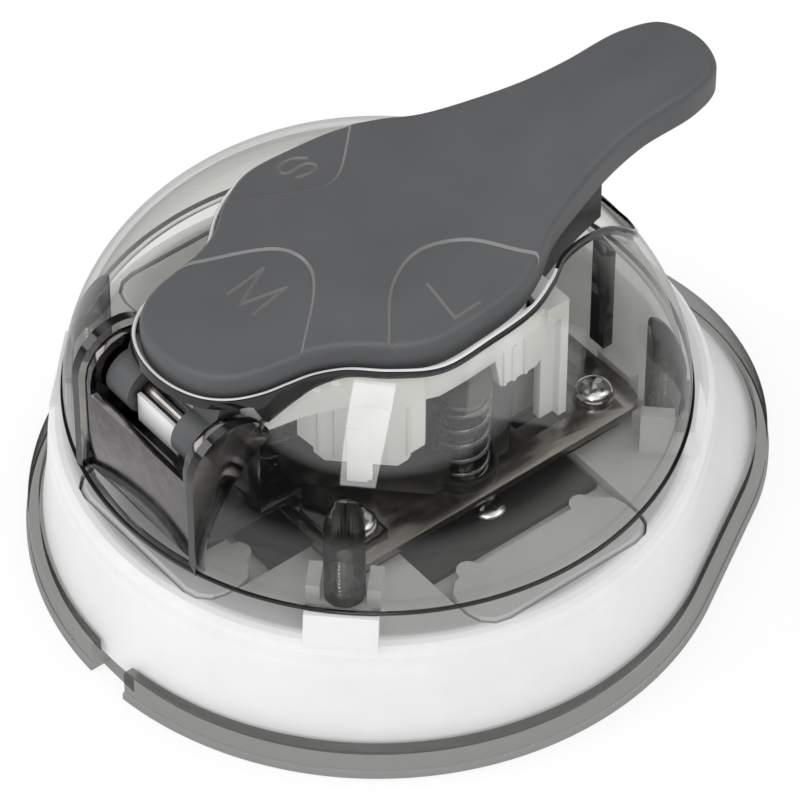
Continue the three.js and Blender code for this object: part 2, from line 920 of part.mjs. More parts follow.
function guidePost({ turns }) {
  const post = cylinder(spring_reach, 0, plate_bottom + punch_rise, post_top, post_radius, bore_steps);
  return turnedTo(post, turns);
}

// An open coil with a tight turn at each end; its least gap to itself is measured and printed.
function returnSpring({ name, turns }) {
  const height = spring_height - 2 * wire_radius;
  const pitch = (height - 2 * end_turns * end_pitch) / coil_turns;
  const total = 2 * end_turns + coil_turns;
  const rise = (turn) => {
    const first = Math.min(turn, end_turns);
    const middle = Math.max(0, Math.min(turn - end_turns, coil_turns));
    const last = Math.max(0, turn - end_turns - coil_turns);
    return end_pitch * (first + last) + pitch * middle;
  };
  const count = total * coil_steps;
  const centres = [];
  const places = [];
  for (let step = 0; step <= count; step++) {
    const turn = step / coil_steps;
    const angle = 2 * Math.PI * turn;
    const z = plate_top + wire_radius + rise(turn);
    const outward = new THREE.Vector3(Math.cos(angle), Math.sin(angle), 0);
    centres.push(new THREE.Vector3(0, 0, z).addScaledVector(outward, spring_radius));
    for (let side = 0; side < coil_sides; side++) {
      const around = (2 * Math.PI * side) / coil_sides;
      const radius = spring_radius + wire_radius * Math.cos(around);
      places.push(radius * outward.x, radius * outward.y, z + wire_radius * Math.sin(around));
    }
  }
  const faces = [];
  for (let step = 0; step < count; step++) {
    for (let side = 0; side < coil_sides; side++) {
      const a = step * coil_sides + side;
      const b = step * coil_sides + ((side + 1) % coil_sides);
      faces.push(a, b + coil_sides, b, a, a + coil_sides, b + coil_sides);
    }
  }
  const end = count * coil_sides;
  for (let side = 1; side + 1 < coil_sides; side++) {
    faces.push(0, side, side + 1, end, end + side + 1, end + side);
  }
  const geometry = new THREE.BufferGeometry();
  geometry.setAttribute("position", new THREE.Float32BufferAttribute(places, 3));
  geometry.setIndex(faces);
  let least = Infinity;
  for (let a = 0; a <= count; a++) {
    for (let b = a + coil_steps / 2; b <= count; b++) {
      least = Math.min(least, centres[a].distanceTo(centres[b]) - 2 * wire_radius);
    }
  }
  console.log("return_spring_" + name + ": least gap to itself " + least.toFixed(2) + " mm");
  return turnedTo(solid(geometry).translate([spring_reach, 0, 0]), turns);
}

// Hinge

function hingeBracket() {
  const w = bracket_half_width;
  const front = bracket_front_y;
  const web_top = bracket_bottom + sheet;
  const plate = box(-w, w, front, front + sheet, bracket_bottom, bracket_front_top);
  const web = cut(
    box(-w, w, front, -web_rear_y, bracket_bottom, web_top),
    box(
      -web_notch_half_width,
      web_notch_half_width,
      -web_notch_y,
      -web_rear_y + overrun,
      bracket_bottom - overrun,
      web_top + overrun,
    ),
  );
  const ear_outline = [
    [front, bracket_bottom],
    [hinge_ear_y, bracket_bottom],
    ...arc(hinge_y, hinge_z, ear_radius, 0, Math.PI, arc_steps),
  ];
  const ear = cut(
    prismAlongX(ear_outline, w - sheet, w),
    cylinderAlongX(w - sheet - overrun, w + overrun, hinge_y, hinge_z, pin_radius + running_gap),
  );
  const drop = box(web_notch_half_width + sheet / 2, w, -web_rear_y - sheet, -web_rear_y, plate_top, web_top);
  const strip = box(
    web_notch_half_width + sheet / 2,
    foot_half_width,
    -web_rear_y - sheet,
    -foot_y,
    plate_top,
    plate_top + sheet,
  );
  const tab = box(
    foot_tab_inner_x,
    foot_half_width,
    -web_rear_y - sheet,
    -foot_tab_y,
    plate_top,
    plate_top + sheet,
  );
  const hole = cylinder(
    plate_screw_x,
    -plate_screw_front_y,
    plate_top - overrun,
    plate_top + sheet + overrun,
    plate_screw_radius + screw_gap,
  );
  return join(plate, web, mirroredPair(ear), mirroredPair(drop), mirroredPair(cut(join(strip, tab), hole)));
}

function hingePin() {
  const half = bracket_half_width + pin_overhang;
  const body = cylinderAlongX(-half + pin_chamfer, half - pin_chamfer, hinge_y, hinge_z, pin_radius);
  const tip = cylinderAlongX(-half, half, hinge_y, hinge_z, pin_radius - pin_chamfer);
  return join(body, tip);
}

// Lever

function leverCover() {
  const rings = [leverRing(-seat_gap, cover_depth), leverRing(0, cover_depth - seat_gap)];
  for (let step = 0; step <= round_steps; step++) {
    const turn = (quarter * step) / round_steps;
    const inset = cover_round * (1 - Math.cos(turn));
    rings.push(leverRing(-inset, cover_round * (1 - Math.sin(turn))));
  }
  const last = leverRing(-cover_round, 0);
  for (const share of crown_shares) {
    const length_share = crown_length_share + (1 - crown_length_share) * share;
    const lift = crown * (1 - share ** 2);
    rings.push(last.map(([x, y, z]) => [x * share, y * length_share, z + lift]));
  }
  const hollow = skinned([
    leverRing(-cover_wall, cover_depth + 2 * overrun),
    leverRing(-cover_wall, cover_roof),
  ]);
  const knuckle = cylinderAlongX(knuckle_inner_x, knuckle_outer_x, hinge_y, hinge_z, knuckle_radius);
  const neck = box(
    knuckle_inner_x,
    knuckle_outer_x,
    hinge_y - knuckle_radius,
    hinge_y + knuckle_radius,
    hinge_z,
    body_plate_top + overrun,
  );
  const inside = skinned([
    leverRing(-seat_gap, lever_top - hinge_z + knuckle_radius + overrun),
    leverRing(-seat_gap, cover_round),
  ]);
  const necks = mirroredPair(join(knuckle, neck.intersect(inside)));
  const bore = cylinderAlongX(
    -bracket_half_width,
    bracket_half_width,
    hinge_y,
    hinge_z,
    pin_radius + running_gap,
  );
  const hole_top = body_plate_top + lever_screw_reach + seat_gap;
  const screw_holes = lever_screw_places.map((y) =>
    cylinder(0, y, body_plate_top - overrun, hole_top, lever_screw_radius + screw_gap),
  );
  return cut(join(cut(skinned(rings), hollow), necks), bore, screw_holes);
}

// A leg on the diagonal in front: a plate that steps in twice, with cut corners, and a tongue.
function frontLeg() {
  const wide = front_leg_half_width;
  const mid = front_leg_mid_half_width;
  const tongue = front_leg_tongue_half_width;
  const shoulder = front_leg_mid + mid - mid * leg_corner_share;
  const half = [
    [tongue, front_leg_bottom],
    [tongue, front_leg_mid],
    [mid * leg_corner_share, front_leg_mid],
    [mid, shoulder],
    [mid, front_leg_step - wide + mid],
    [wide, front_leg_step],
    [wide, front_leg_top],
  ];
  const outline = [...half, ...half.map(([y, z]) => [-y, z]).reverse()];
  const plate = prismAlongX(outline, front_leg_reach, front_leg_reach + front_leg_thickness);
  return plate.rotate([0, 0, -quarter_turn / 2]);
}

// A leg that drops through the slots behind, with a wing that reaches forward under the skirt.
function rearLeg() {
  const middle = (rear_leg_inner_x + rear_leg_outer_x) / 2;
  const half = rear_leg_web / 2;
  const back = box(
    rear_leg_inner_x,
    rear_leg_outer_x,
    rear_leg_rear_y - rear_leg_web,
    rear_leg_rear_y,
    rear_leg_bottom,
    arm_top,
  );
  const rib = box(middle - half, middle + half, rear_leg_front_y, rear_leg_rear_y, rear_leg_bottom, arm_top);
  const arm = box(arm_inner_x, rear_leg_outer_x, rear_leg_front_y, rear_leg_rear_y, arm_bottom, arm_top);
  const wing_profile = [
    [rear_wing_front_y, rear_wing_bottom],
    [rear_leg_front_y - rear_wing_chamfer, rear_wing_bottom],
    [rear_leg_front_y, rear_wing_bottom + rear_wing_chamfer],
    [rear_leg_front_y + rear_leg_web, arm_bottom],
    [rear_leg_front_y + rear_leg_web, arm_top],
    [rear_wing_front_y, arm_top],
  ];
  const wing = prismAlongX(wing_profile, rear_wing_inner_x, rear_wing_outer_x);
  return join(back, rib, arm, wing);
}

function leverBody() {
  const inset = cover_wall + body_gap;
  const outer = leverOutline(-inset);
  const inner = leverOutline(-inset - body_wall);
  const full_rear = box(
    -lever_half_width,
    lever_half_width,
    -body_front_y,
    body_full_rear,
    body_skirt_bottom - overrun,
    body_plate_top + overrun,
  );
  const tongue_zone = box(
    -lever_half_width,
    lever_half_width,
    -body_front_y,
    body_tongue_rear,
    body_plate_bottom,
    body_plate_top + overrun,
  );
  const shell = cut(
    prism(outer, body_skirt_bottom, body_plate_top),
    prism(inner, body_skirt_bottom - overrun, body_plate_bottom),
  );
  const skirt_zone = box(
    -lever_half_width,
    lever_half_width,
    -body_skirt_front_y,
    body_full_rear,
    body_skirt_bottom - overrun,
    body_plate_top,
  );
  const skirt_top = lever_top - cover_depth - body_gap;
  const skirt = cut(
    prism(leverOutline(-body_skirt_inset), body_skirt_bottom, skirt_top),
    prism(inner, body_skirt_bottom - overrun, body_plate_top),
  ).intersect(skirt_zone);
  const plate = prism(outer, body_plate_bottom, body_plate_top);
  const nose_bottom = beam_top + nose_gap;
  const r = nose_width / 2;
  const nose_profile = [
    ...arc(0, nose_bottom + r, r, Math.PI, 2 * Math.PI, arc_steps),
    [r, body_plate_bottom + r],
    [-r, body_plate_bottom + r],
  ];
  const nose_l = prismAlongX(nose_profile, nose_inner_x, nose_outer_x);
  const nose_m = prismAlongX(nose_profile, -nose_m_half_width, nose_m_half_width);
  const saddle_y = hinge_y - saddle_front;
  const saddle_profile = [
    [saddle_y, hinge_z - saddle_depth],
    [-body_front_y + body_wall, hinge_z - saddle_depth],
    [-body_front_y + body_wall, body_plate_bottom + r],
    [-body_front_y, body_plate_bottom + r],
    [-body_front_y, body_skirt_bottom],
    [hinge_y + saddle_front, hinge_z + saddle_lip],
    [saddle_y, hinge_z + saddle_lip],
  ];
  const saddle = cut(
    prismAlongX(saddle_profile, -saddle_half_width, saddle_half_width),
    cylinderAlongX(-knuckle_outer_x, knuckle_outer_x, hinge_y, hinge_z, pin_radius + seat_gap),
    box(
      -knuckle_outer_x,
      knuckle_outer_x,
      hinge_y - pin_radius - seat_gap,
      hinge_y + pin_radius + seat_gap,
      hinge_z,
      hinge_z + knuckle_radius,
    ),
  );
  const legs = mirroredPair(join(frontLeg(), rearLeg()));
  const screw_holes = lever_screw_places.map((y) =>
    cylinder(0, y, body_plate_bottom - overrun, body_plate_top + overrun, lever_screw_radius + screw_gap),
  );
  const noses = join(mirroredPair(nose_l), nose_m.translate([0, -nose_m_y, 0]));
  const body = join(shell.intersect(full_rear), skirt, plate.intersect(tongue_zone), noses);
  return cut(join(body, saddle, legs), screw_holes);
}

// Dome

function domeProfile(radius, rise, foot_radius, foot_z) {
  const curve = Array.from({ length: dome_rows }, (_, row) => {
    const turn = (quarter * (row + first_row_share)) / dome_rows;
    return [radius * Math.cos(turn), dome_base + rise * Math.sin(turn)];
  });
  return [[0, foot_z], [foot_radius, foot_z], [radius, dome_base], ...curve, [0, dome_base + rise]];
}

// The lever's opening in the dome, grown by a distance, with the slot under the handle.
function leverOpening(grow, z0, z1) {
  const front = prism(leverOutline(opening_gap + grow), z0, z1);
  const kept_end = slot_front_y + slot_corner;
  const kept = box(-dome_radius, dome_radius, -dome_radius, kept_end, z0 - overrun, z1 + overrun);
  const w = slot_half_width + grow;
  const slot = prism(roundedRectangle(-w, w, slot_front_y, slot_rear_y + grow, slot_corner), z0, z1);
  return join(front.intersect(kept), slot);
}

function domeCover() {
  const inner_radius = dome_radius - dome_wall;
  const inner_rise = dome_rise - dome_wall;
  const outer = turned(domeProfile(dome_radius, dome_rise, dome_radius, pad_top), dome_steps);
  const inner = turned(domeProfile(inner_radius, inner_rise, inner_radius, pad_top - overrun), dome_steps);
  const shell = cut(outer, inner);
  const lip_outer = turned(
    domeProfile(dome_radius + lip_height, dome_rise + lip_height, dome_radius, pad_top),
    dome_steps,
  );
  const low = dome_base + rim_height;
  const high = dome_base + dome_rise + 2 * lip_height + overrun;
  const lip = cut(lip_outer, inner).intersect(leverOpening(lip_width, low, high));
  const rim = cut(
    cylinder(0, 0, pad_top, pad_top + rim_height, rim_radius, dome_steps),
    cylinder(0, 0, pad_top - overrun, pad_top + rim_height + overrun, inner_radius, dome_steps),
  );
  const bosses = diagonals.map((angle) => {
    const post = cylinder(...onDiagonal(angle), pad_top, dome_base + dome_rise, boss_radius, bore_steps);
    return post.intersect(outer);
  });
  const holes = diagonals.map((angle) =>
    cylinder(...onDiagonal(angle), pad_top - overrun, pad_top + boss_hole_depth, boss_hole_radius),
  );
  const rib = box(rib_inner_x, rib_outer_x, rib_front_y, rib_rear_y, rib_bottom, dome_base + dome_rise);
  const ribs = mirroredPair(rib.intersect(outer));
  const window_half = bracket_half_width + window_gap;
  const cheek_radius = ear_radius + cheek_gap;
  const cheek_outline = [
    [hinge_y - cheek_radius, pad_top],
    [0, pad_top],
    ...arc(hinge_y, hinge_z, cheek_radius, 0, Math.PI, 2 * round_steps + 2),
  ];
  const cheek = prismAlongX(cheek_outline, window_half, window_half + cheek_wall);
  const cheeks = mirroredPair(cut(cheek, inner));
  const window = box(
    -window_half,
    window_half,
    -dome_radius - overrun,
    hinge_ear_y,
    pad_top + rim_height,
    dome_base + dome_rise,
  );
  const opening = leverOpening(0, low, high + overrun);
  const opened = cut(join(shell, lip, cheeks), opening, window);
  return cut(join(opened, rim, bosses, ribs), holes);
}

// Assembly

const colours = {
  white: { color: 0xe6e7e4, roughness: 0.42, metalness: 0 },
  grey: { color: 0x5e5f5f, roughness: 0.6, metalness: 0 },
  black: { color: 0x141414, roughness: 0.5, metalness: 0 },
  smoke: { color: 0x3b3a3a, roughness: 0.08, metalness: 0, transparent: true, opacity: 0.45 },
  steel: { color: 0xc8c8c6, roughness: 0.25, metalness: 1 },
  zinc: { color: 0xb4b4b0, roughness: 0.35, metalness: 1 },
};

const rounder = new THREE.Group();

function place(name, shape, colour) {
  const mesh = new THREE.Mesh(geometryOf(shape), new THREE.MeshStandardMaterial(colours[colour]));
  mesh.name = name;
  rounder.add(mesh);
}

place("scrap_tray", scrapTray(), "smoke");
place("base_housing", baseHousing(), "white");
place("die_chassis", dieChassis(), "black");
place("card_guide_plate", cardGuidePlate(), "black");
place("top_plate", topPlate(), "steel");
place("guide_block", guideBlock(), "black");
place("hinge_bracket", hingeBracket(), "steel");
place("hinge_pin", hingePin(), "steel");
place("lever_cover", leverCover(), "grey");
place("lever_body", leverBody(), "white");
place("dome_cover", domeCover(), "smoke");

for (const side of sides) {
  place("card_table_" + side.name, turnedTo(cardTable(), side.turns), "white");
  place("die_" + side.name, die(side), "steel");
  place("punch_" + side.name, punch(side), "steel");
  place("punch_carrier_" + side.name, punchCarrier(side), "black");
  place("guide_post_" + side.name, guidePost(side), "steel");
  place("return_spring_" + side.name, returnSpring(side), "steel");
  const chassis_screw = screw(
    chassis_screw_reach,
    0,
    recess_floor + flange_thickness,
    chassis_screw_length,
    chassis_screw_radius,
    chassis_head_radius,
    chassis_head_height,
  );
  place("chassis_screw_" + side.name, turnedTo(chassis_screw, side.turns), "zinc");
}

plate_screw_places.forEach(([x, y], index) => {
  const face = y < 0 ? plate_top + sheet : plate_top;
  const shape = screw(
    x,
    y,
    face,
    plate_screw_length,
    plate_screw_radius,
    plate_head_radius,
    plate_head_height,
  );
  place("plate_screw_" + (index + 1), shape, "zinc");
});

diagonals.forEach((angle, index) => {
  const length = pad_top - deck_bottom + dome_screw_entry;
  const shape = screw(
    ...onDiagonal(angle),
    deck_bottom,
    length,
    dome_screw_radius,
    dome_head_radius,
    dome_head_height,
    -1,
  );
  place("dome_screw_" + (index + 1), shape, "zinc");
});

lever_screw_places.forEach((y, index) => {
  const length = body_plate + lever_screw_reach;
  const shape = screw(
    0,
    y,
    body_plate_bottom,
    length,
    lever_screw_radius,
    lever_head_radius,
    lever_head_height,
    -1,
  );
  place("lever_screw_" + (index + 1), shape, "zinc");
});

export default rounder;
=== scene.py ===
"""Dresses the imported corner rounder: smooth rebuilt covers, materials, studio and camera."""
import math

import bmesh
import bpy
from mathutils import Matrix, Vector
from mathutils.geometry import delaunay_2d_cdt


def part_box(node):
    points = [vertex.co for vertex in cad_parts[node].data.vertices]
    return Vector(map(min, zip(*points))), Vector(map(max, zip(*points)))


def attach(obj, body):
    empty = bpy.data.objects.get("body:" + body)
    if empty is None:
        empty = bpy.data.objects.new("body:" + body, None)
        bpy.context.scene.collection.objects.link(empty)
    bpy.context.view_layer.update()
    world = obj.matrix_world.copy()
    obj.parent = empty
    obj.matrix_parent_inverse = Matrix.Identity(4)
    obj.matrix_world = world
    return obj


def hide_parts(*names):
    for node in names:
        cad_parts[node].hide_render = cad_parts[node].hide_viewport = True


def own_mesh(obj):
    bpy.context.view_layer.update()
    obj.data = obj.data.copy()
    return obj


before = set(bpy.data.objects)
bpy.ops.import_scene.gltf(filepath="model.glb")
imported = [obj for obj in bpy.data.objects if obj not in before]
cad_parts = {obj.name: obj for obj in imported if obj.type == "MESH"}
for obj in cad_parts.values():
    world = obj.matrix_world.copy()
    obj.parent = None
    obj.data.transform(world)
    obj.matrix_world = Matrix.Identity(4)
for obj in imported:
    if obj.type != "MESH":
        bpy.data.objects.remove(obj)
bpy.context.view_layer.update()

# Sizes are in millimetres here and become metres where they are used.
MM = 0.001
QUARTER = math.pi / 2
# How far cutters reach past what they cut, how near counts as the same place, and how far a
# normal may turn from a direction; then cutters' heights, and steps round the round forms
OVERRUN, NEAR, WELD, FINE_WELD, FACING = 1, 0.1, 0.01, 0.002, 0.9
BELOW_ROOF, ABOVE_DOME, OVER_ALL = 35, 60, 70
BASE_STEPS, DOME_STEPS, CAP_STEPS, CAP_LEAST_SHARE = 360, 192, 5, 0.05

# Base
PLINTH_RADIUS, NOSE_RADIUS, NOSE_OFFSET = 50, 38.7, 22.6
TRAY_HEIGHT, TRAY_FLOOR, TRAY_RIM, TRAY_SHELF_WIDTH, TRAY_SHELF_HEIGHT = 5.3, 1.5, 2, 2.6, 2.9
BEAD_WIDTH, BEAD_HEIGHT, BEAD_DRAFT, TRAY_INSET = 0.35, 1.4, 0.05, 0.07
# The tray's rounded edges as insets and heights from its foot, its bead's top and its rim
TRAY_FOOT = [(0.25, 0), (0.06, 0.07), (0, 0.25)]
TRAY_BEAD = [(0, -0.2), (0.1, 0)]
TRAY_LIP = [(0, -0.3), (0.1, -0.08), (0.35, 0)]
# The thumb notch: its limits in x and in y
NOTCH = (-1.3, 5.7, -51, -47.6)
SKIRT_INSET, SHOULDER_RADIUS, NOSE_KEPT_SHARE = 2.4, 46, 0.3
SKIN_WALL, SKIN_LIFT, SKIN_TOP, SKIN_ROWS = 0.5, 0.15, 19.6, 24
SKIN_TAPER, SKIN_TAPER_ROW = 0.12, 21
DECK_TOP, PAD_TOP = 22, 26.6
# The radii between which the painted shade of the dome on the deck ends
DECK_SHADE = (43.2, 43.8)

# Lever
LEVER_HALF_WIDTH, LEVER_FRONT_REACH, LEVER_REACH = 21.1, 38.4, 57.7
LEVER_TOP, HANDLE_RISE, RISE_START, RISE_END, HEM_RISE_START = 55.5, 3.5, 3, 50, 15
COVER_DEPTH, COVER_ROUND, COVER_WALL, COVER_ROOF = 5, 1.1, 2, 2.5
CROWN, CROWN_REACH = 0.5, 9
# The hem's edge as outward steps and lifts, and its bow along the neck, from start to end in y
HEM_SECTION = [(-0.5, 0), (-0.15, 0.1), (0, 0.5)]
NECK_RISE, NECK_BOW = 1.1, (8, 22, 38, 54)
HINGE_Y, HINGE_Z, PIN_RADIUS, PIN_GAP = -35.4, 44, 1.5, 0.06
KNUCKLE_INNER_X, KNUCKLE_OUTER_X, KNUCKLE_RADIUS, KNUCKLE_NECK, KNUCKLE_TOP = 4.8, 9.6, 3.8, 1.2, 51.4
# The right half of the lever's outline: shares of its half width and of its reach in y
LEVER_SHARES = [
    (0, -0.965), (0.19, -0.95), (0.345, -0.909), (0.455, -0.842), (0.525, -0.75), (0.555, -0.655),
    (0.59, -0.555), (0.68, -0.445), (0.862, -0.32), (0.995, -0.174), (1, 0.017), (0.948, 0.153),
    (0.83, 0.248), (0.69, 0.326), (0.56, 0.444), (0.45, 0.579), (0.405, 0.693),
    (0.385, 0.867), (0.284, 0.962), (0, 1),
]
LEVER_STEPS, CURVE_PARTS, ROUND_STEPS, SHEET_SPACING, COARSE = 360, 40, 8, 2.4, 4
# Painted shade on the lever's body: it is darkened behind this y and above this z
REAR_PAINTED_SHADE = (14, 43)

# The three zones pressed for each radius, and their size letters, in x and y
ZONE_DEPTH, ZONE_SLOPE, ZONE_REACH, ZONE_CUT, BLOCK_GROW = 0.3, 1.2, 9, (-2, 2.5), 0.03
ZONE_LINES = {
    "l": [(18.2, -13), (13.1, -8.3), (9.3, -4.3), (7, 0.2), (7, 3.8), (8.9, 7.4), (11.6, 9.7), (16.5, 13.2)],
    "m": [(-11.3, -23.3), (-8.6, -17.5), (-5.4, -12.9), (-2.8, -11.7), (-0.1, -11.9), (2.6, -13.4),
          (7.4, -17.8), (12.3, -22.6)],
    "s": [(-18.6, 9.9), (-15.5, 6.7), (-12.7, 3.3), (-11.6, 1.1), (-11.9, -1), (-13.9, -5.3), (-17.2, -12.1)],
}
ZONE_FAR = {"l": (50, 0), "m": (1.3, -70), "s": (-50, 0)}
LETTER_RADIUS, LETTER_DEPTH = 0.42, 0.22
LETTER_LINES = [
    [(-3, -23.3), (-3.9, -16.7), (-0.4, -23.2), (0.9, -16.5), (2.2, -23.1)],
    [(12.3, -1.3), (19.2, -2.2), (18.9, 2.2)],
]
LETTER_CURVE = [
    (-17.7, 1.6), (-18.6, 0.7), (-19, -0.3), (-19.1, -1.4), (-18.8, -2.4), (-18.1, -3),
    (-17.2, -2.9), (-16.8, -2.1), (-16.9, -0.8), (-17, 0.4), (-16.5, 1.4), (-15.6, 1.6),
    (-15, 0.9), (-14.9, -0.4), (-15.3, -1.9),
]

# Dome
DOME_RADIUS, DOME_BASE, DOME_RISE, DOME_WALL = 43.8, 27.4, 28.5, 1.2
DOME_ROWS, DOME_FIRST_ROW = 40, 0.4
RIM_RADIUS, RIM_HEIGHT, RIM_WIDTH = 44.1, 0.4, 0.6
# The rim's section, as insets from its radius and heights from its foot
RIM_SECTION = [
    (RIM_WIDTH, 0), (0.1, 0), (0, 0.1), (0, RIM_HEIGHT - 0.12), (0.04, RIM_HEIGHT - 0.03),
    (0.12, RIM_HEIGHT), (RIM_WIDTH, RIM_HEIGHT),
]
# The opening's gap round the lever, in front and elsewhere, and where in y the one becomes the other
OPENING_GAP, FRONT_GAP, FRONT_GAP_Y, OPENING_GAP_Y = 1.2, 0.6, -20, -5
SLOT_HALF_WIDTH, SLOT_REAR_Y, SLOT_CORNER, SLOT_JOIN_Y = 10.3, 40, 4.5, 33.2
WINDOW_HALF, WINDOW_FRONT_Y, WINDOW_REAR_Y, WINDOW_SINK = 12, -50, -29.4, 0.05
CHEEK_WALL, CHEEK_RADIUS = 1.4, 6.7
BOSS_REACH, BOSS_RADIUS, BOSS_HOLE_RADIUS, BOSS_HOLE_DEPTH, BOSS_SINK = 40, 2.85, 1.35, 8, 0.05
LIP_HEIGHT, LIP_SINK, LIP_FRONT_TOP, LIP_FRONT_Y, LIP_REAR_Y = 0.35, 0.4, 52.3, 22, 5
# The lip's section, as outward steps and drops from its top; None is its foot in the dome
LIP_SECTION = [(0, None), (0, 0.2), (0.05, 0.06), (0.14, 0), (0.5, 0), (0.58, 0.07), (0.66, 0.3), (0.8, None)]
# The steps of the section whose faces get a painted highlight, and the y behind which none does
LIP_HIGHLIGHT_STEPS, LIP_HIGHLIGHT_END_Y = (1, 4), 17
BAR_HEIGHT, BAR_FRONT_Y, BAR_REAR_Y = 1.5, 31, 28.5
RIB_X, RIB_Y, RIB_BOTTOM = (12, 15), (28.4, 30), 27

# Springs
SPRING_REACH, SPRING_RADIUS, WIRE_RADIUS = 18.6, 3.5, 0.4
SPRING_FOOT, SPRING_HEIGHT, END_PITCH = 25, 15.2, 1.4
SPRING_TURNS, END_TURNS, SPRING_STEPS = 4, 1, 48
SIDE_TURNS = {"l": 0, "m": -1, "s": 2}

# The legs' raised panels: their two limits across, how far they stand out, and from z to z
LEG_FACE, LEG_SINK, PANEL_ROUND = 20.4, 0.3, 0.12
LEG_PANELS = [
    (-3.7, 3.7, 0.35, 32, 42.5), (-1.9, 1, 0.7, 28.4, 38.5),
    (-6, -5.4, 0.3, 33.5, 42), (6.2, 6.8, 0.3, 33.6, 43),
]
# The rear legs' wings, whose lower front corners move from one y to another, and their ribs in y
WING_FACE, WING_WALL, WING_BOTTOM = 19.4, 1.6, 37.2
WING_CORNER_Y, WING_TRIMMED_Y = 4.8, 6
WING_RIBS = [(6.2, 6.8), (7.8, 8.5), (9.9, 10.5)]
WING_RIB_SINK, WING_RIB_OUT, WING_RIB_LIFT, WING_RIB_HEIGHT, WING_RIB_ROUND = 0.2, 0.45, 0.1, 6.6, 0.15

# Screws: shank radius, head radius, head height, and 1 for a head on top or -1 for one below
SCREWS = {
    "plate_screw_": (1.5, 2.87, 1.9, 1), "chassis_screw_": (1.2, 2.5, 0.9, 1),
    "dome_screw_": (1.25, 2.5, 1.5, -1), "lever_screw_": (1.2, 2.4, 1.4, -1),
}
CORE_SHARE, THREAD_PITCH, THREAD_ROWS, THREAD_STEPS, THREAD_FLANK = 0.8, 0.7, 8, 24, 3.2
HEAD_SINK, HEAD_EDGE, HEAD_TIP, HEAD_STEPS = 0.2, (0.08, 0.1), 0.05, 40
HEAD_SIDE_SHARE, HEAD_ROUNDING = 0.35, 0.55
CROSS_REACH_SHARE, CROSS_HALF_SHARE, CROSS_DEPTH_SHARE, CROSS_TURN = 0.62, 0.15, 0.4, 17

# Pieces shown with softened edges: the node, its body, its material slot and the edges' width
SOFTENED = [
    ("lever_body", "lever", "white_plastic", 0.2),
    ("top_plate", "housing", "polished_steel", 0.12),
    ("hinge_bracket", "housing", "polished_steel", 0.22),
    ("guide_block", "housing", "black_plastic", 0.2),
]

# Camera: lens, sensor and shift, where it looks from and at, and in metres how near and far it sees
LENS, SENSOR, SHIFT = 258.5, 36, (0.028, -0.0129)
CAMERA_FROM, CAMERA_DISTANCE, CAMERA_AIM_Z, CLIP = (-38.66, 45.5), 800, 25, (0.01, 10)

# Light: the world's on surfaces and in mirrors, the lamps' aim, and the mirrored sky's tones by height
WORLD_LIGHT, MIRRORED_LIGHT, LIGHT_AIM_Z = 0.68, 2, 35
MIRRORED_SKY = [(0, 0.5), (0.12, 0.42), (0.3, 0.05), (0.76, 0.045), (0.82, 0.8)]
# The lamps: azimuth, elevation, distance, size, power, and the only kind of light that one gives
LIGHTS = [
    ("key", -122, 34, 800, (500, 400), 2.2),
    ("back", 60, 50, 800, (500, 500), 1.0),
    ("fill", -28, 22, 800, (500, 400), 1.5, "matte"),
    ("strip", -47, 65, 600, (120, 460), 0.9, "gloss"),
]
# The floor: its tone, the light it gives to the camera and its share, and its size and place
FLOOR_TONE, FLOOR_GLOW, FLOOR_GLOW_SHARE, FLOOR_HALF, FLOOR_DROP = 0.9, 1.05, 0.78, 3000, 0.1


# Meshes


def in_scene(name, data):
    made = bpy.data.objects.new(name, data)
    bpy.context.scene.collection.objects.link(made)
    return made


def piece_of(name, points, faces, material, smooth_angle=35):
    mesh = bpy.data.meshes.new(name)
    mesh.from_pydata([[c * MM for c in point] for point in points], [], faces)
    mesh.validate()
    mesh.materials.append(material)
    piece = in_scene(name, mesh)
    shade(piece, smooth_angle)
    return piece


def shade(piece, smooth_angle):
    piece.data.shade_smooth()
    piece.data.set_sharp_from_angle(angle=math.radians(smooth_angle))


def apply_modifiers(piece):
    graph = bpy.context.evaluated_depsgraph_get()
    made = bpy.data.meshes.new_from_object(piece.evaluated_get(graph))
    piece.modifiers.clear()
    piece.data = made


def carve(piece, cutter, operation="DIFFERENCE"):
    """Cuts one piece by another, whose material the new faces take."""
    modifier = piece.modifiers.new("carve", "BOOLEAN")
    modifier.operation = operation
    modifier.solver = "MANIFOLD"
    modifier.material_mode = "TRANSFER"
    modifier.object = cutter
    apply_modifiers(piece)
    bpy.data.objects.remove(cutter)


def soften(piece, width, angle=35):
    modifier = piece.modifiers.new("soften", "BEVEL")
    modifier.width = width * MM
    modifier.segments = 2
    modifier.limit_method = "ANGLE"
    modifier.angle_limit = math.radians(angle)
    apply_modifiers(piece)


def skinned(rings, start_cap=True, end_cap=True, loop=False):
    """Points and faces of a skin over equal rings."""
    count = len(rings[0])
    points = [point for ring in rings for point in ring]
    faces = []
    rows = len(rings) if loop else len(rings) - 1
    for row in range(rows):
        low, high = row * count, (row + 1) % len(rings) * count
        for step in range(count):
            near, far = step, (step + 1) % count
            faces.append((low + near, low + far, high + far, high + near))
    if start_cap:
        faces.append(tuple(reversed(range(count))))
    if end_cap:
        faces.append(tuple(range((len(rings) - 1) * count, len(rings) * count)))
    return points, faces


def ring_of(radius_at, z, steps=DOME_STEPS):
    ring = []
    for step in range(steps):
        angle = math.tau * step / steps
        radius = radius_at(angle)
        ring.append((radius * math.cos(angle), radius * math.sin(angle), z))
    return ring


def turned_rings(profile):
    return [ring_of(lambda angle: radius, z) for radius, z in profile]


def skin(name, rings, material):
    return piece_of(name, *skinned(rings), material)


def hoop(name, rings, material):
    """A ring-shaped solid: its section runs through the rings and back."""
    return piece_of(name, *skinned(rings, False, False, True), material, 50)


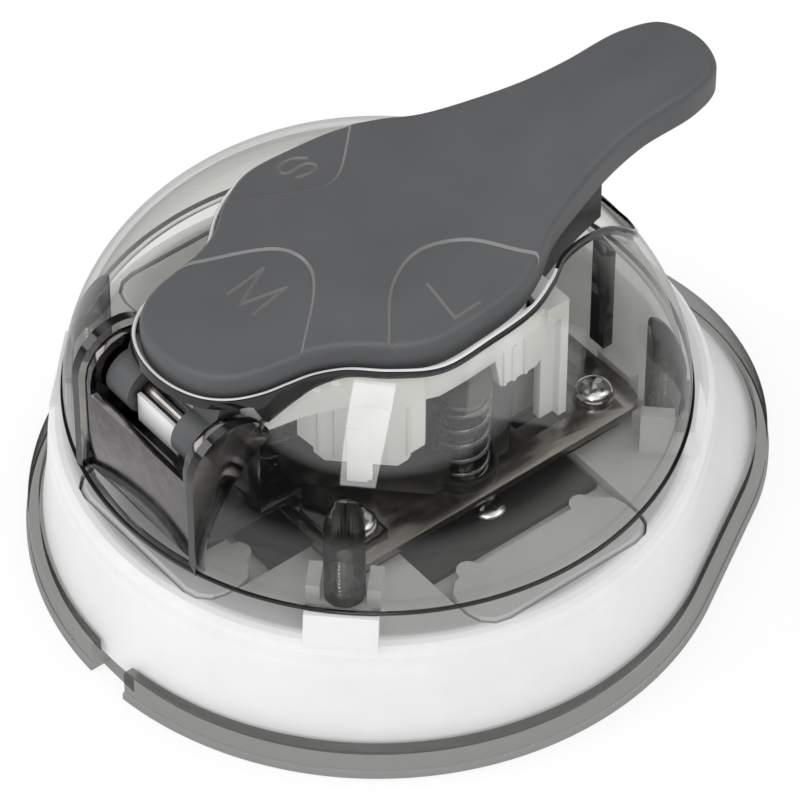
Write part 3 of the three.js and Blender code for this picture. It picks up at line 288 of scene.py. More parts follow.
def prism(name, outline, z0, z1, material):
    return skin(name, [[(x, y, z) for x, y in outline] for z in (z0, z1)], material)


def box(name, x0, x1, y0, y1, z0, z1, material):
    return prism(name, [(x0, y0), (x1, y0), (x1, y1), (x0, y1)], z0, z1, material)


def prism_along_x(name, outline, x0, x1, material):
    return skin(name, [[(x, y, z) for y, z in outline] for x in (x0, x1)], material)


def on_side(side, near, far):
    """Two places in x on one side of the middle, the lower one first."""
    return sorted((side * near, side * far))


def arc(cx, cy, radius, start, end, steps):
    turns = [start + (end - start) * step / steps for step in range(steps + 1)]
    return [(cx + radius * math.cos(t), cy + radius * math.sin(t)) for t in turns]


def joined(name, *pieces):
    """One object from several, each keeping its own shells and materials."""
    whole = bmesh.new()
    materials = []
    for piece in pieces:
        first = len(whole.faces)
        whole.from_mesh(piece.data)
        whole.faces.ensure_lookup_table()
        slots = []
        for material in piece.data.materials:
            if material not in materials:
                materials.append(material)
            slots.append(materials.index(material))
        for face in whole.faces[first:]:
            face.material_index = slots[min(face.material_index, len(slots) - 1)]
    mesh = bpy.data.meshes.new(name)
    whole.to_mesh(mesh)
    whole.free()
    for material in materials:
        mesh.materials.append(material)
    for piece in pieces:
        bpy.data.objects.remove(piece)
    return in_scene(name, mesh)


def chaikin(points, rounds=3):
    """Cuts the corners of an open line, keeping its two ends."""
    for _ in range(rounds):
        cut = [points[0]]
        for (ax, ay), (bx, by) in zip(points, points[1:]):
            cut.append((0.75 * ax + 0.25 * bx, 0.75 * ay + 0.25 * by))
            cut.append((0.25 * ax + 0.75 * bx, 0.25 * ay + 0.75 * by))
        points = [*cut, points[-1]]
    return points


def grown(outline, distance):
    """A closed outline, run round anticlockwise, moved outwards by a small distance."""
    made = []
    for index, here in enumerate(outline):
        before, after = outline[index - 1], outline[(index + 1) % len(outline)]
        along = Vector((after[0] - before[0], after[1] - before[1])).normalized()
        made.append((here[0] + distance * along.y, here[1] - distance * along.x))
    return made


def area_of(outline):
    return sum(a[0] * b[1] - b[0] * a[1] for a, b in zip(outline, outline[1:] + outline[:1])) / 2


def weld(piece, distance=WELD, flatten=False):
    """Joins points that lie together, and merges flat faces where edges are to be rounded."""
    whole = bmesh.new()
    whole.from_mesh(piece.data)
    bmesh.ops.remove_doubles(whole, verts=whole.verts, dist=distance * MM)
    if flatten:
        flat = math.radians(0.5)
        bmesh.ops.dissolve_limit(whole, angle_limit=flat, verts=whole.verts, edges=whole.edges)
    else:
        bmesh.ops.recalc_face_normals(whole, faces=whole.faces)
    whole.to_mesh(piece.data)
    whole.free()


def paint(piece, material, chosen):
    """Gives the faces for which a test holds another material."""
    piece.data.materials.append(material)
    for face in piece.data.polygons:
        if chosen(face):
            face.material_index = len(piece.data.materials) - 1


def paint_edges(piece, across):
    """Darkens the faces that don't look along a direction."""
    paint(piece, LIP_SIDE, lambda face: abs(face.normal.dot(Vector(across))) < FACING)


def round_cap(end, outward, radius):
    """Centres and radii of a half-round end, from its tip to the rod."""
    rings = []
    for step in range(CAP_STEPS):
        turn = QUARTER * step / CAP_STEPS
        share = max(math.sin(turn), CAP_LEAST_SHARE)
        rings.append((end + outward * radius * math.cos(turn), share * radius))
    return rings


def tube(name, path, radius, material, sides=12, round_ends=False):
    """A rod along a path, with flat or half-round ends."""
    path = [Vector(point) for point in path]
    line = [(point, radius) for point in path]
    if round_ends:
        first, last = (path[0] - path[1]).normalized(), (path[-1] - path[-2]).normalized()
        start, end = round_cap(path[0], first, radius), round_cap(path[-1], last, radius)
        line = [*start, *line, *reversed(end)]
    rings = []
    for index, (here, size) in enumerate(line):
        before, after = line[max(index - 1, 0)][0], line[min(index + 1, len(line) - 1)][0]
        along = (after - before).normalized()
        across = along.cross(Vector((0, 0, 1))).normalized()
        up = across.cross(along)
        turns = [-math.tau * side / sides for side in range(sides)]
        rings.append([here + size * (math.cos(t) * across + math.sin(t) * up) for t in turns])
    return skin(name, rings, material)


def placed(piece, body, slot, *nodes):
    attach(piece, body)
    if nodes:
        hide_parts(*nodes)


# Outlines


def closed_curve(points, steps):
    """A closed centripetal Catmull-Rom curve through points, as even steps with tangents."""
    count = len(points)
    fine = []
    for index in range(count):
        p = [Vector(points[(index + k) % count]) for k in (-1, 0, 1, 2)]
        gaps = [max((p[k + 1] - p[k]).length ** 0.5, 1e-6) for k in range(3)]
        t1 = (p[1] - p[0]) / gaps[0] - (p[2] - p[0]) / (gaps[0] + gaps[1])
        t1 = (t1 + (p[2] - p[1]) / gaps[1]) * gaps[1]
        t2 = (p[2] - p[1]) / gaps[1] - (p[3] - p[1]) / (gaps[1] + gaps[2])
        t2 = (t2 + (p[3] - p[2]) / gaps[2]) * gaps[1]
        c2 = -3 * p[1] + 3 * p[2] - 2 * t1 - t2
        c3 = 2 * p[1] - 2 * p[2] + t1 + t2
        for part in range(CURVE_PARTS):
            t = part / CURVE_PARTS
            fine.append(p[1] + t1 * t + c2 * t * t + c3 * t ** 3)
    lengths = [0]
    for index, point in enumerate(fine):
        lengths.append(lengths[-1] + (fine[(index + 1) % len(fine)] - point).length)
    even, spot = [], 0
    for step in range(steps):
        goal = lengths[-1] * step / steps
        while lengths[spot + 1] < goal:
            spot += 1
        share = (goal - lengths[spot]) / (lengths[spot + 1] - lengths[spot])
        even.append(fine[spot].lerp(fine[(spot + 1) % len(fine)], share))
    tangents = [(even[(i + 1) % steps] - even[i - 1]).normalized() for i in range(steps)]
    return even, tangents


MIRRORED_SHARES = [(-x, y) for x, y in reversed(LEVER_SHARES[1:-1])]
LEVER_POINTS = [
    (x * LEVER_HALF_WIDTH, y * (LEVER_FRONT_REACH if y < 0 else LEVER_REACH))
    for x, y in LEVER_SHARES + MIRRORED_SHARES
]
LEVER_CURVE, LEVER_TANGENTS = closed_curve(LEVER_POINTS, LEVER_STEPS)


def lever_outline(grow):
    return [(p.x + grow * t.y, p.y - grow * t.x) for p, t in zip(LEVER_CURVE, LEVER_TANGENTS)]


def smoothstep(value, low, high):
    share = min(max((value - low) / (high - low), 0), 1)
    return share * share * (3 - 2 * share)


def lever_top_at(y):
    return LEVER_TOP + HANDLE_RISE * smoothstep(y, RISE_START, RISE_END)


def lever_ring(grow, drop):
    return [(x, y, lever_top_at(y) - drop) for x, y in lever_outline(grow)]


# Materials


def node_in(tree, kind, **values):
    """A new shader node, with plain values set on its sockets."""
    node = tree.nodes.new(kind)
    for key, value in values.items():
        node.inputs[key.replace("_", " ")].default_value = value
    return node


def wire(tree, source, output, target, socket):
    tree.links.new(source.outputs[output], target.inputs[socket])


def math_node(tree, operation, *terms):
    """Works one sum on sockets and numbers, and gives its result."""
    node = node_in(tree, "ShaderNodeMath")
    node.operation = operation
    for place, term in enumerate(terms):
        if isinstance(term, bpy.types.NodeSocket):
            tree.links.new(term, node.inputs[place])
        else:
            node.inputs[place].default_value = term
    return node.outputs["Value"]


def ramp_of(tree, value, stops):
    """Turns a value into the colours at its stops."""
    ramp = node_in(tree, "ShaderNodeValToRGB")
    steps = ramp.color_ramp.elements
    while len(steps) < len(stops):
        steps.new(0.5)
    for step, (place, colour) in zip(steps, stops):
        step.position = place
        step.color = (*colour, 1)
    tree.links.new(value, ramp.inputs["Fac"])
    return ramp.outputs["Color"]


def mixed(tree, factor, first, second):
    """Mixes two shaders by a factor, all of them given as sockets."""
    mix = node_in(tree, "ShaderNodeMixShader")
    for place, socket in enumerate((factor, first, second)):
        tree.links.new(socket, mix.inputs[place])
    return mix.outputs["Shader"]


def shown(tree, surface, output="ShaderNodeOutputMaterial"):
    tree.links.new(surface, node_in(tree, output).inputs["Surface"])


def emptied(block):
    """The node tree of a new material or world, without its first nodes."""
    block.use_nodes = True
    block.node_tree.nodes.clear()
    return block.node_tree


def material_of(name):
    """A Principled material, its node tree and its shader."""
    material = bpy.data.materials.new(name)
    material.use_nodes = True
    return material, material.node_tree, material.node_tree.nodes["Principled BSDF"]


def noise_of(tree, scale, detail=3, roughness=0.5, stretch=None):
    """A noise texture on the object's own coordinates, in metres."""
    place = node_in(tree, "ShaderNodeTexCoord")
    noise = node_in(tree, "ShaderNodeTexNoise", Scale=scale, Detail=detail, Roughness=roughness)
    if stretch:
        mapping = node_in(tree, "ShaderNodeMapping", Scale=stretch)
        wire(tree, place, "Object", mapping, "Vector")
        wire(tree, mapping, "Vector", noise, "Vector")
    else:
        wire(tree, place, "Object", noise, "Vector")
    return noise


def vary(tree, noise, target, low, high):
    """Lets a noise drive a number between two values."""
    ramp = node_in(tree, "ShaderNodeMapRange", To_Min=low, To_Max=high)
    wire(tree, noise, "Fac", ramp, "Value")
    tree.links.new(ramp.outputs["Result"], target)


def mottle(tree, noise, target, low, high):
    """Lets a noise drive a colour between two tones."""
    stops = [(MOTTLE_STOPS[0], low), (MOTTLE_STOPS[1], high)]
    tree.links.new(ramp_of(tree, noise.outputs["Fac"], stops), target)


def bump(tree, shader, noise, strength, distance):
    node = node_in(tree, "ShaderNodeBump", Strength=strength, Distance=distance * MM)
    wire(tree, noise, "Fac", node, "Height")
    wire(tree, node, "Normal", shader, "Normal")


def plastic(name, low, high, rough, grain, depth):
    """Moulded plastic: two close tones, uneven gloss and a fine spark-eroded grain."""
    material, tree, shader = material_of(name)
    mottle(tree, noise_of(tree, CLOUD_SCALE), shader.inputs["Base Color"], low, high)
    fine = noise_of(tree, grain, 2)
    vary(tree, fine, shader.inputs["Roughness"], rough - GLOSS_SPREAD, rough + GLOSS_SPREAD)
    bump(tree, shader, fine, GRAIN_STRENGTH, depth)
    return material


def grey(value):
    return (value, value, value)


def deck_with_painted_shade():
    """The base's white, with painted shade darkening the deck, which lies in the smoke dome's shade."""
    material, tree, shader = material_of("deck_abs_painted_shade")
    place = node_in(tree, "ShaderNodeTexCoord")
    flat = node_in(tree, "ShaderNodeVectorMath")
    flat.operation = "MULTIPLY"
    flat.inputs[1].default_value = (1, 1, 0)
    length = node_in(tree, "ShaderNodeVectorMath")
    length.operation = "LENGTH"
    near, far = (radius * MM for radius in DECK_SHADE)
    reach = node_in(tree, "ShaderNodeMapRange", From_Min=near, From_Max=far)
    mix = node_in(tree, "ShaderNodeMix")
    mix.data_type = "RGBA"
    cloud = noise_of(tree, CLOUD_SCALE)
    mottle(tree, cloud, mix.inputs[6], *DECK_PAINTED_SHADE_TONES)
    mottle(tree, cloud, mix.inputs[7], *WHITE_TONES)
    wire(tree, place, "Object", flat, 0)
    wire(tree, flat, "Vector", length, 0)
    wire(tree, length, "Value", reach, "Value")
    wire(tree, reach, "Result", mix, "Factor")
    wire(tree, mix, 2, shader, "Base Color")
    vary(tree, noise_of(tree, FINE, 2), shader.inputs["Roughness"], *DECK_ROUGH)
    return material


def metal(name, low, high, rough, spread, stretch, depth):
    """Sheet or turned metal: streaks along one direction in tone, gloss and relief."""
    material, tree, shader = material_of(name)
    shader.inputs["Metallic"].default_value = 1
    streaks = noise_of(tree, STREAK_SCALE, 4, 0.6, stretch)
    mottle(tree, streaks, shader.inputs["Base Color"], low, high)
    vary(tree, streaks, shader.inputs["Roughness"], rough - spread, rough + spread)
    bump(tree, shader, streaks, STREAK_STRENGTH, depth)
    return material


def smoke(name, stops, gloss):
    """Clear smoke plastic: the more it is seen at a slant, the darker it makes what is behind it."""
    material = bpy.data.materials.new(name)
    tree = emptied(material)
    slant = node_in(tree, "ShaderNodeLayerWeight", Blend=0.5).outputs["Facing"]
    clear = node_in(tree, "ShaderNodeBsdfTransparent")
    tints = [(place, [tone * part for part in SMOKE_TINT]) for place, tone in stops]
    tree.links.new(ramp_of(tree, slant, tints), clear.inputs["Color"])
    shine = node_in(tree, "ShaderNodeBsdfGlossy", Roughness=gloss)
    steep = math_node(tree, "POWER", slant, FRESNEL_POWER)
    mirror = math_node(tree, "MULTIPLY_ADD", steep, *FRESNEL_SHARES)
    shown(tree, mixed(tree, mirror, clear.outputs["BSDF"], shine.outputs["BSDF"]))
    return material


# Noise scales per metre, and how far gloss and grain vary
CLOUD_SCALE, STREAK_SCALE, FINE, COARSE_GRAIN = 120, 700, 2500, 600
GLOSS_SPREAD, GRAIN_STRENGTH, STREAK_STRENGTH, MOTTLE_STOPS = 0.05, 0.12, 0.15, (0.3, 0.7)
# The base's white, the deck's darker tones that are painted shade, and the deck's gloss
WHITE_TONES, DECK_PAINTED_SHADE_TONES, DECK_ROUGH = (grey(0.79), grey(0.83)), (grey(0.52), grey(0.56)), (0.33, 0.43)
# The smoke plastic's tint, and its mirror light: a power of the slant, times a share, plus a share
SMOKE_TINT, FRESNEL_POWER, FRESNEL_SHARES = (1, 1, 0.985), 5, (0.9, 0.04)

WHITE = plastic("white_abs", *WHITE_TONES, 0.38, FINE, 0.002)
# The lever body's white, lighter than the base's white as painted light on the skirt under the lever
WHITE_PAINTED_LIGHT = plastic("white_abs_painted_light", grey(0.88), grey(0.91), 0.4, FINE, 0.001)
DECK = deck_with_painted_shade()
# The card tables' mid grey: partly their own grey, partly painted shade under the dome and lever
PALE_AND_PAINTED_SHADE = plastic("pale_abs_and_painted_shade", grey(0.5), grey(0.55), 0.42, FINE, 0.001)
GREY = plastic("grey_abs", (0.076, 0.078, 0.081), (0.086, 0.088, 0.091), 0.55, 3500, 0.004)
# A lighter grey painted as a highlight on the sunk zones' step walls
GREY_STEP_HIGHLIGHT = plastic("grey_step_highlight", grey(0.17), grey(0.19), 0.4, 3500, 0.0005)
# A lighter grey painted as a highlight in the letters' grooves
GREY_GROOVE_HIGHLIGHT = plastic("grey_groove_highlight", grey(0.125), grey(0.14), 0.4, 3500, 0.0005)
BLACK = plastic("black_abs", grey(0.005), grey(0.008), 0.42, COARSE_GRAIN, 0.0003)
DARK = plastic("dark_abs", grey(0.015), grey(0.022), 0.48, COARSE_GRAIN, 0.0003)
SMOKE = smoke("smoke_clear", [(0, 0.93), (0.5, 0.9), (0.8, 0.8), (0.97, 0.4)], 0.01)
SMOKE_EDGE = smoke("smoke_edge", [(0, 0.4), (0.5, 0.25), (0.9, 0.06)], 0.03)
LIP_SIDE = plastic("lip_side", grey(0.006), grey(0.012), 0.1, 900, 0.0005)
# A light grey painted as a highlight on the lip's top faces
LIP_PAINTED_HIGHLIGHT = plastic("lip_painted_highlight", grey(0.72), grey(0.8), 0.12, 900, 0.0005)
SMOKE_BOSS = smoke("smoke_boss", [(0.28, 0.8), (0.42, 0.35), (0.56, 0.03)], 0.02)
SMOKE_TRAY = smoke("smoke_tray", [(0, 0.62), (0.6, 0.53), (0.95, 0.15)], 0.08)
STEEL = metal("polished_steel", (0.2, 0.185, 0.175), (0.28, 0.262, 0.25), 0.24, 0.05, (1, 0.15, 1), 0.001)
MIRROR = metal("mirror_steel", (0.1, 0.092, 0.098), (0.17, 0.157, 0.162), 0.12, 0.03, (1, 0.15, 1), 0.0005)
BLADE = metal("ground_steel", grey(0.36), grey(0.5), 0.3, 0.08, (1, 1, 0.1), 0.001)
SPRING = metal("spring_wire", grey(0.12), grey(0.2), 0.28, 0.06, (1, 1, 1), 0.0005)
ZINC = metal("zinc_plate", grey(0.62), grey(0.75), 0.2, 0.05, (1, 1, 1), 0.0005)

# Each node's finish, by the first of these that its name starts with
FINISHES = {
    "scrap_tray": SMOKE_TRAY, "base_housing": DECK, "lever_body": WHITE_PAINTED_LIGHT, "lever_cover": GREY,
    "die_chassis": DARK, "card_guide_plate": BLACK, "guide_block": BLACK, "dome_cover": SMOKE,
    "top_plate": STEEL, "hinge_bracket": MIRROR, "hinge_pin": STEEL, "card_table_": PALE_AND_PAINTED_SHADE,
    "die_": BLADE, "punch_carrier_": DARK, "punch_": BLADE, "guide_post_": BLADE,
    "return_spring_": SPRING, **dict.fromkeys(SCREWS, ZINC),
}


def dress_nodes():
    for node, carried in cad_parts.items():
        finish = next(FINISHES[start] for start in FINISHES if node.startswith(start))
        for place in carried.material_slots:
            place.material = finish
        shade(carried, 32)


# Tray and base


def plinth_radius(angle, inset):
    """The tray's outline seen from the origin: a round body, straight sides and the nose."""
    body, nose = PLINTH_RADIUS - inset, NOSE_RADIUS - inset
    side = math.asin((body - nose) / NOSE_OFFSET)
    folded = math.asin(math.sin(angle))
    side_end = math.atan2(NOSE_OFFSET + nose * math.sin(side), nose * math.cos(side))
    if folded <= side:
        return body
    if folded <= side_end:
        return body / math.cos(folded - side)
    across = NOSE_OFFSET * math.cos(folded)
    return NOSE_OFFSET * math.sin(folded) + math.sqrt(nose ** 2 - across ** 2)


def housing_radius(angle, share):
    foot = plinth_radius(angle, SKIRT_INSET)
    top = SHOULDER_RADIUS + NOSE_KEPT_SHARE * (foot - PLINTH_RADIUS + SKIRT_INSET)
    return foot + (top - foot) * (1 - (1 - share) ** 2)


def plinth_skin(name, rows):
    rings = [ring_of(lambda angle: plinth_radius(angle, inset), z, BASE_STEPS) for inset, z in rows]
    return skin(name, rings, SMOKE_TRAY)


def smooth_tray():
    """The scrap tray again, with fine steps, rounded edges and its notch."""
    out, step = TRAY_INSET, TRAY_INSET + BEAD_WIDTH
    rows = [(out + inset, z) for inset, z in TRAY_FOOT]
    rows += [(out + inset, BEAD_HEIGHT + z) for inset, z in TRAY_BEAD]
    rows.append((step, BEAD_HEIGHT + BEAD_DRAFT))
    rows += [(step + inset, TRAY_HEIGHT + z) for inset, z in TRAY_LIP]
    tray = plinth_skin("tray", rows)
    above = TRAY_HEIGHT + OVERRUN
    carve(tray, plinth_skin("seat", [(TRAY_RIM, TRAY_SHELF_HEIGHT), (TRAY_RIM, above)]))
    shelf = TRAY_RIM + TRAY_SHELF_WIDTH
    carve(tray, plinth_skin("hollow", [(shelf, TRAY_FLOOR), (shelf, TRAY_HEIGHT)]))
    carve(tray, box("notch", *NOTCH, -OVERRUN, above, SMOKE_TRAY))
    shade(tray, 35)
    placed(tray, "tray", "smoke_plastic", "scrap_tray")


def smooth_skirt():
    """A fine-stepped skin over the housing's faceted wall."""
    rise = DECK_TOP - TRAY_SHELF_HEIGHT
    rings = []
    upwards = range(SKIN_ROWS + 1)
    for lift, rows in ((SKIN_LIFT, upwards), (-SKIN_WALL, reversed(upwards))):
        for row in rows:
            z = TRAY_SHELF_HEIGHT + (SKIN_TOP - TRAY_SHELF_HEIGHT) * row / SKIN_ROWS
            share = (z - TRAY_SHELF_HEIGHT) / rise
            out = lift - (SKIN_TAPER * max(0, row - SKIN_TAPER_ROW) if lift > 0 else 0)
            rings.append(ring_of(lambda angle: housing_radius(angle, share) + out, z, BASE_STEPS))
    placed(hoop("skirt", rings, WHITE), "housing", "white_plastic")


# Lever


def inside_triangles(outline, spacing):
    """A triangulated sheet over an outline, with points in between."""
    points = [Vector(p) for p in outline]
    count = len(points)
    edges = [(i, (i + 1) % count) for i in range(count)]
    xs, ys = [p[0] for p in outline], [p[1] for p in outline]
    y = min(ys) + spacing
    while y < max(ys):
        x = min(xs) + spacing
        while x < max(xs):
            points.append(Vector((x, y)))
            x += spacing
        y += spacing
    made = delaunay_2d_cdt(points, edges, [tuple(range(count))], 1, 1e-5)
    return [tuple(p) for p in made[0]], [tuple(face) for face in made[2]]


def distance_inside(point, outline):
    """How far a point lies from an outline."""
    best = math.inf
    p = Vector(point)
    for index in range(len(outline)):
        a, b = Vector(outline[index - 1]), Vector(outline[index])
        along = b - a
        share = min(max((p - a).dot(along) / along.length_squared, 0), 1)
        best = min(best, (a + along * share - p).length)
    return best


def crown_at(point, coarse):
    return CROWN * smoothstep(distance_inside(point, coarse), 0, CROWN_REACH)


def lever_sheet(outline, drop, crowned):
    """The lever's upper face over an outline, sunk by a depth, with its crown or without."""
    flat, faces = inside_triangles(outline, SHEET_SPACING)
    points = []
    coarse = outline[::COARSE]
    for x, y in flat:
        lift = crown_at((x, y), coarse) if crowned else 0
        points.append((x, y, lever_top_at(y) - drop + lift))
    return points, faces


def lever_shoulder(grow, drop):
    """The rounded edge between the lever's wall and its top, as rings from low to high."""
    rings = []
    for step in range(ROUND_STEPS + 1):
        turn = QUARTER * step / ROUND_STEPS
        inset = COVER_ROUND * (1 - math.cos(turn))
        rings.append(lever_ring(grow - inset, drop + COVER_ROUND * (1 - math.sin(turn))))
    return rings


def lever_block(grow, drop):
    """The lever's outside as a solid, sunk by a depth, to shape recesses that follow its top."""
    low = [(x, y, BELOW_ROOF) for x, y in lever_outline(grow)]
    wall = piece_of("wall", *skinned([low, *lever_shoulder(grow, drop)], True, False), GREY)
    top = piece_of("top", *lever_sheet(lever_outline(grow - COVER_ROUND), drop, True), GREY)
    block = joined("block", wall, top)
    weld(block)
    return block


def zone_outline(side):
    line = ZONE_LINES[side]
    ends = []
    for end, inner in ((line[0], line[1]), (line[-1], line[-2])):
        out = (Vector(end) - Vector(inner)).normalized() * ZONE_REACH
        ends.append((end[0] + out.x, end[1] + out.y))
    outline = [*chaikin([ends[0], *line, ends[1]]), ZONE_FAR[side]]
    return outline if area_of(outline) > 0 else outline[::-1]


def zone_cutter(side):
    outline = zone_outline(side)
    rings = []
    for rise in ZONE_CUT:
        z = LEVER_TOP + rise
        rings.append([(x, y, z) for x, y in grown(outline, ZONE_SLOPE * rise)])
    # Its walls hand their lighter grey, a painted highlight, to the cover's step walls
    return skin("zone_" + side, rings, GREY_STEP_HIGHLIGHT)


def groove(line):
    """A round-ended rod that lies along a line just above the lever's sunk zones; its lighter grey is a
    painted highlight in the groove it cuts.
    """
    lift = LETTER_RADIUS - LETTER_DEPTH - ZONE_DEPTH
    coarse = lever_outline(-COVER_ROUND)[::COARSE]
    path = [(x, y, lever_top_at(y) + crown_at((x, y), coarse) + lift) for x, y in line]
    return tube("groove", path, LETTER_RADIUS, GREY_GROOVE_HIGHLIGHT, 16, True)


def lever_hem(grow, lift):
    """The cover's lower edge, which rises later than its top and bows up along the neck."""
    ring = []
    start, full, fall, end = NECK_BOW
    for x, y in lever_outline(grow):
        rise = HANDLE_RISE * smoothstep(y, HEM_RISE_START, LEVER_REACH)
        rise += NECK_RISE * smoothstep(y, start, full) * (1 - smoothstep(y, fall, end))
        ring.append((x, y, LEVER_TOP - COVER_DEPTH + lift + rise))
    return ring


def lever_cover():
    rings = [lever_hem(grow, lift) for grow, lift in HEM_SECTION]
    rings += lever_shoulder(0, 0)
    inner = [lever_ring(-COVER_WALL, COVER_ROOF), lever_hem(-COVER_WALL, 0)]
    parts = [piece_of("wall", *skinned([*inner, *rings], False, False), GREY)]
    parts.append(piece_of("top", *lever_sheet(lever_outline(-COVER_ROUND), 0, True), GREY))
    roof_points, roof_faces = lever_sheet(lever_outline(-COVER_WALL), COVER_ROOF, False)
    parts.append(piece_of("roof", roof_points, [tuple(reversed(f)) for f in roof_faces], GREY))
    cover = joined("lever_top_cover", *parts)
    weld(cover)
    for side in ZONE_LINES:
        cutter = zone_cutter(side)
        carve(cutter, lever_block(BLOCK_GROW, ZONE_DEPTH))
        carve(cover, cutter)
    strokes = [pair for line in LETTER_LINES for pair in zip(line, line[1:])]
    for stroke in [*strokes, chaikin(LETTER_CURVE, 2)]:
        carve(cover, groove(stroke))
    shade(cover, 20)
    return cover


def knuckles():
    parts = []
    for side in (-1, 1):
        outline = [
            *arc(HINGE_Y, HINGE_Z, KNUCKLE_RADIUS, QUARTER, math.tau, 36),
            (HINGE_Y + KNUCKLE_RADIUS, KNUCKLE_TOP),
            (HINGE_Y + KNUCKLE_NECK, KNUCKLE_TOP),
        ]
        x0, x1 = on_side(side, KNUCKLE_INNER_X, KNUCKLE_OUTER_X)
        ear = prism_along_x("ear", outline, x0, x1, GREY)
        hole = arc(HINGE_Y, HINGE_Z, PIN_RADIUS + PIN_GAP, 0, math.tau, 32)[:-1]
        carve(ear, prism_along_x("hole", hole, x0 - OVERRUN, x1 + OVERRUN, GREY))
        parts.append(ear)
    return parts


# Dome


def dome_solid(name, inset, material, foot_z=PAD_TOP):
    """The space under the dome, drawn in by an inset."""
    radius, rise = DOME_RADIUS - inset, DOME_RISE - inset
    profile = [(radius, foot_z), (radius, DOME_BASE)]
    for row in range(DOME_ROWS):
        turn = QUARTER * (row + DOME_FIRST_ROW) / DOME_ROWS
        profile.append((radius * math.cos(turn), DOME_BASE + rise * math.sin(turn)))
    return skin(name, turned_rings(profile), material)


def dome_height(x, y):
    share = min((x * x + y * y) / DOME_RADIUS ** 2, 1)
    return DOME_BASE + DOME_RISE * math.sqrt(1 - share)


def opening_path(grow):
    """The lever's opening with the slot under the handle, run round once anticlockwise."""
    nominal = lever_outline(OPENING_GAP)
    tight, wide = lever_outline(FRONT_GAP + grow), lever_outline(OPENING_GAP + grow)
    shares = [smoothstep(y, FRONT_GAP_Y, OPENING_GAP_Y) for _, y in nominal]
    moved = [
        (ax + (bx - ax) * share, ay + (by - ay) * share)
        for (ax, ay), (bx, by), share in zip(tight, wide, shares)
    ]
    half = LEVER_STEPS // 2
    right = [moved[i] for i in range(half) if nominal[i][1] < SLOT_JOIN_Y]
    left = [moved[i] for i in range(half, LEVER_STEPS) if nominal[i][1] < SLOT_JOIN_Y]
    x, y = SLOT_HALF_WIDTH - SLOT_CORNER, SLOT_REAR_Y - SLOT_CORNER
    radius = SLOT_CORNER + grow
    rear = arc(x, y, radius, 0, QUARTER, 12) + arc(-x, y, radius, QUARTER, 2 * QUARTER, 12)
    return [*right, *rear, *left]


def dome_shell():
    shell = dome_solid("dome_shell", 0, SMOKE)
    carve(shell, dome_solid("core", DOME_WALL, SMOKE, PAD_TOP - OVERRUN))
    carve(shell, prism("opening", opening_path(0), BELOW_ROOF, OVER_ALL, SMOKE_EDGE))
    across, along = (-WINDOW_HALF, WINDOW_HALF), (WINDOW_FRONT_Y, WINDOW_REAR_Y)
    low = PAD_TOP + RIM_HEIGHT - WINDOW_SINK
    carve(shell, box("window", *across, *along, low, OVER_ALL, SMOKE_EDGE))
    return shell


def lip_top(x, y):
    """The lip follows the dome behind and stays level round the lever's front."""
    front = smoothstep(-y, LIP_REAR_Y, LIP_FRONT_Y)
    own = dome_height(x, y) + LIP_HEIGHT
    return own + (max(LIP_FRONT_TOP, own) - own) * front


def lip_foot(x, y):
    """Its foot stands in the dome, except over the hinge, where it is a bar."""
    bar = smoothstep(-y, BAR_REAR_Y, BAR_FRONT_Y)
    low = dome_height(x, y) - LIP_SINK
    return low + (lip_top(x, y) - BAR_HEIGHT - low) * bar


def dome_lip():
    rings = []
    for grow, drop in LIP_SECTION:
        ring = []
        for x, y in opening_path(grow):
            z = lip_foot(x, y) if drop is None else lip_top(x, y) - drop
            ring.append((x, y, z))
        rings.append(ring)
    lip = hoop("lip", rings, LIP_SIDE)
    count, bright, limit = len(rings[0]), range(*LIP_HIGHLIGHT_STEPS), LIP_HIGHLIGHT_END_Y * MM
    # The top faces in front take the light grey of the painted highlight
    paint(lip, LIP_PAINTED_HIGHLIGHT, lambda face: face.index // count in bright and face.center.y < limit)
    return lip


def dome_rim():
    rings = turned_rings([(RIM_RADIUS - inset, PAD_TOP + z) for inset, z in RIM_SECTION])
    return hoop("rim", rings, LIP_SIDE)


def dome_cheeks():
    """The two side walls of the window, round about the hinge pin."""
    pieces = []
    for side in (-1, 1):
        outline = [
            (HINGE_Y - CHEEK_RADIUS, PAD_TOP), (0, PAD_TOP),
            *arc(HINGE_Y, HINGE_Z, CHEEK_RADIUS, 0, 2 * QUARTER, 32),
        ]
        across = on_side(side, WINDOW_HALF, WINDOW_HALF + CHEEK_WALL)
        cheek = prism_along_x("cheek", outline, *across, SMOKE)
        carve(cheek, dome_solid("inside", DOME_WALL, SMOKE))
        paint_edges(cheek, (1, 0, 0))
        pieces.append(cheek)
    return pieces


def dome_bosses():
    """Four hollow posts that take the screws from below, cut off by the dome above."""
    pieces = []
    for index in range(4):
        angle = QUARTER * (index + 0.5)
        x, y = BOSS_REACH * math.cos(angle), BOSS_REACH * math.sin(angle)
        circle = arc(x, y, BOSS_RADIUS, 0, math.tau, 40)[:-1]
        post = prism("post", circle, PAD_TOP, ABOVE_DOME, SMOKE_BOSS)
        carve(post, dome_solid("outside", BOSS_SINK, SMOKE_BOSS), "INTERSECT")
        bore = arc(x, y, BOSS_HOLE_RADIUS, 0, math.tau, 24)[:-1]
        carve(post, prism("bore", bore, PAD_TOP - OVERRUN, PAD_TOP + BOSS_HOLE_DEPTH, SMOKE_BOSS))
        pieces.append(post)
    return pieces


def dome_ribs():
    pieces = []
    for side in (-1, 1):
        rib = box("rib", *on_side(side, *RIB_X), *RIB_Y, RIB_BOTTOM, ABOVE_DOME, SMOKE_EDGE)
        carve(rib, dome_solid("outside", DOME_WALL / 2, SMOKE), "INTERSECT")
        paint_edges(rib, (0, 1, 0))
        pieces.append(rib)
    return pieces


# Springs


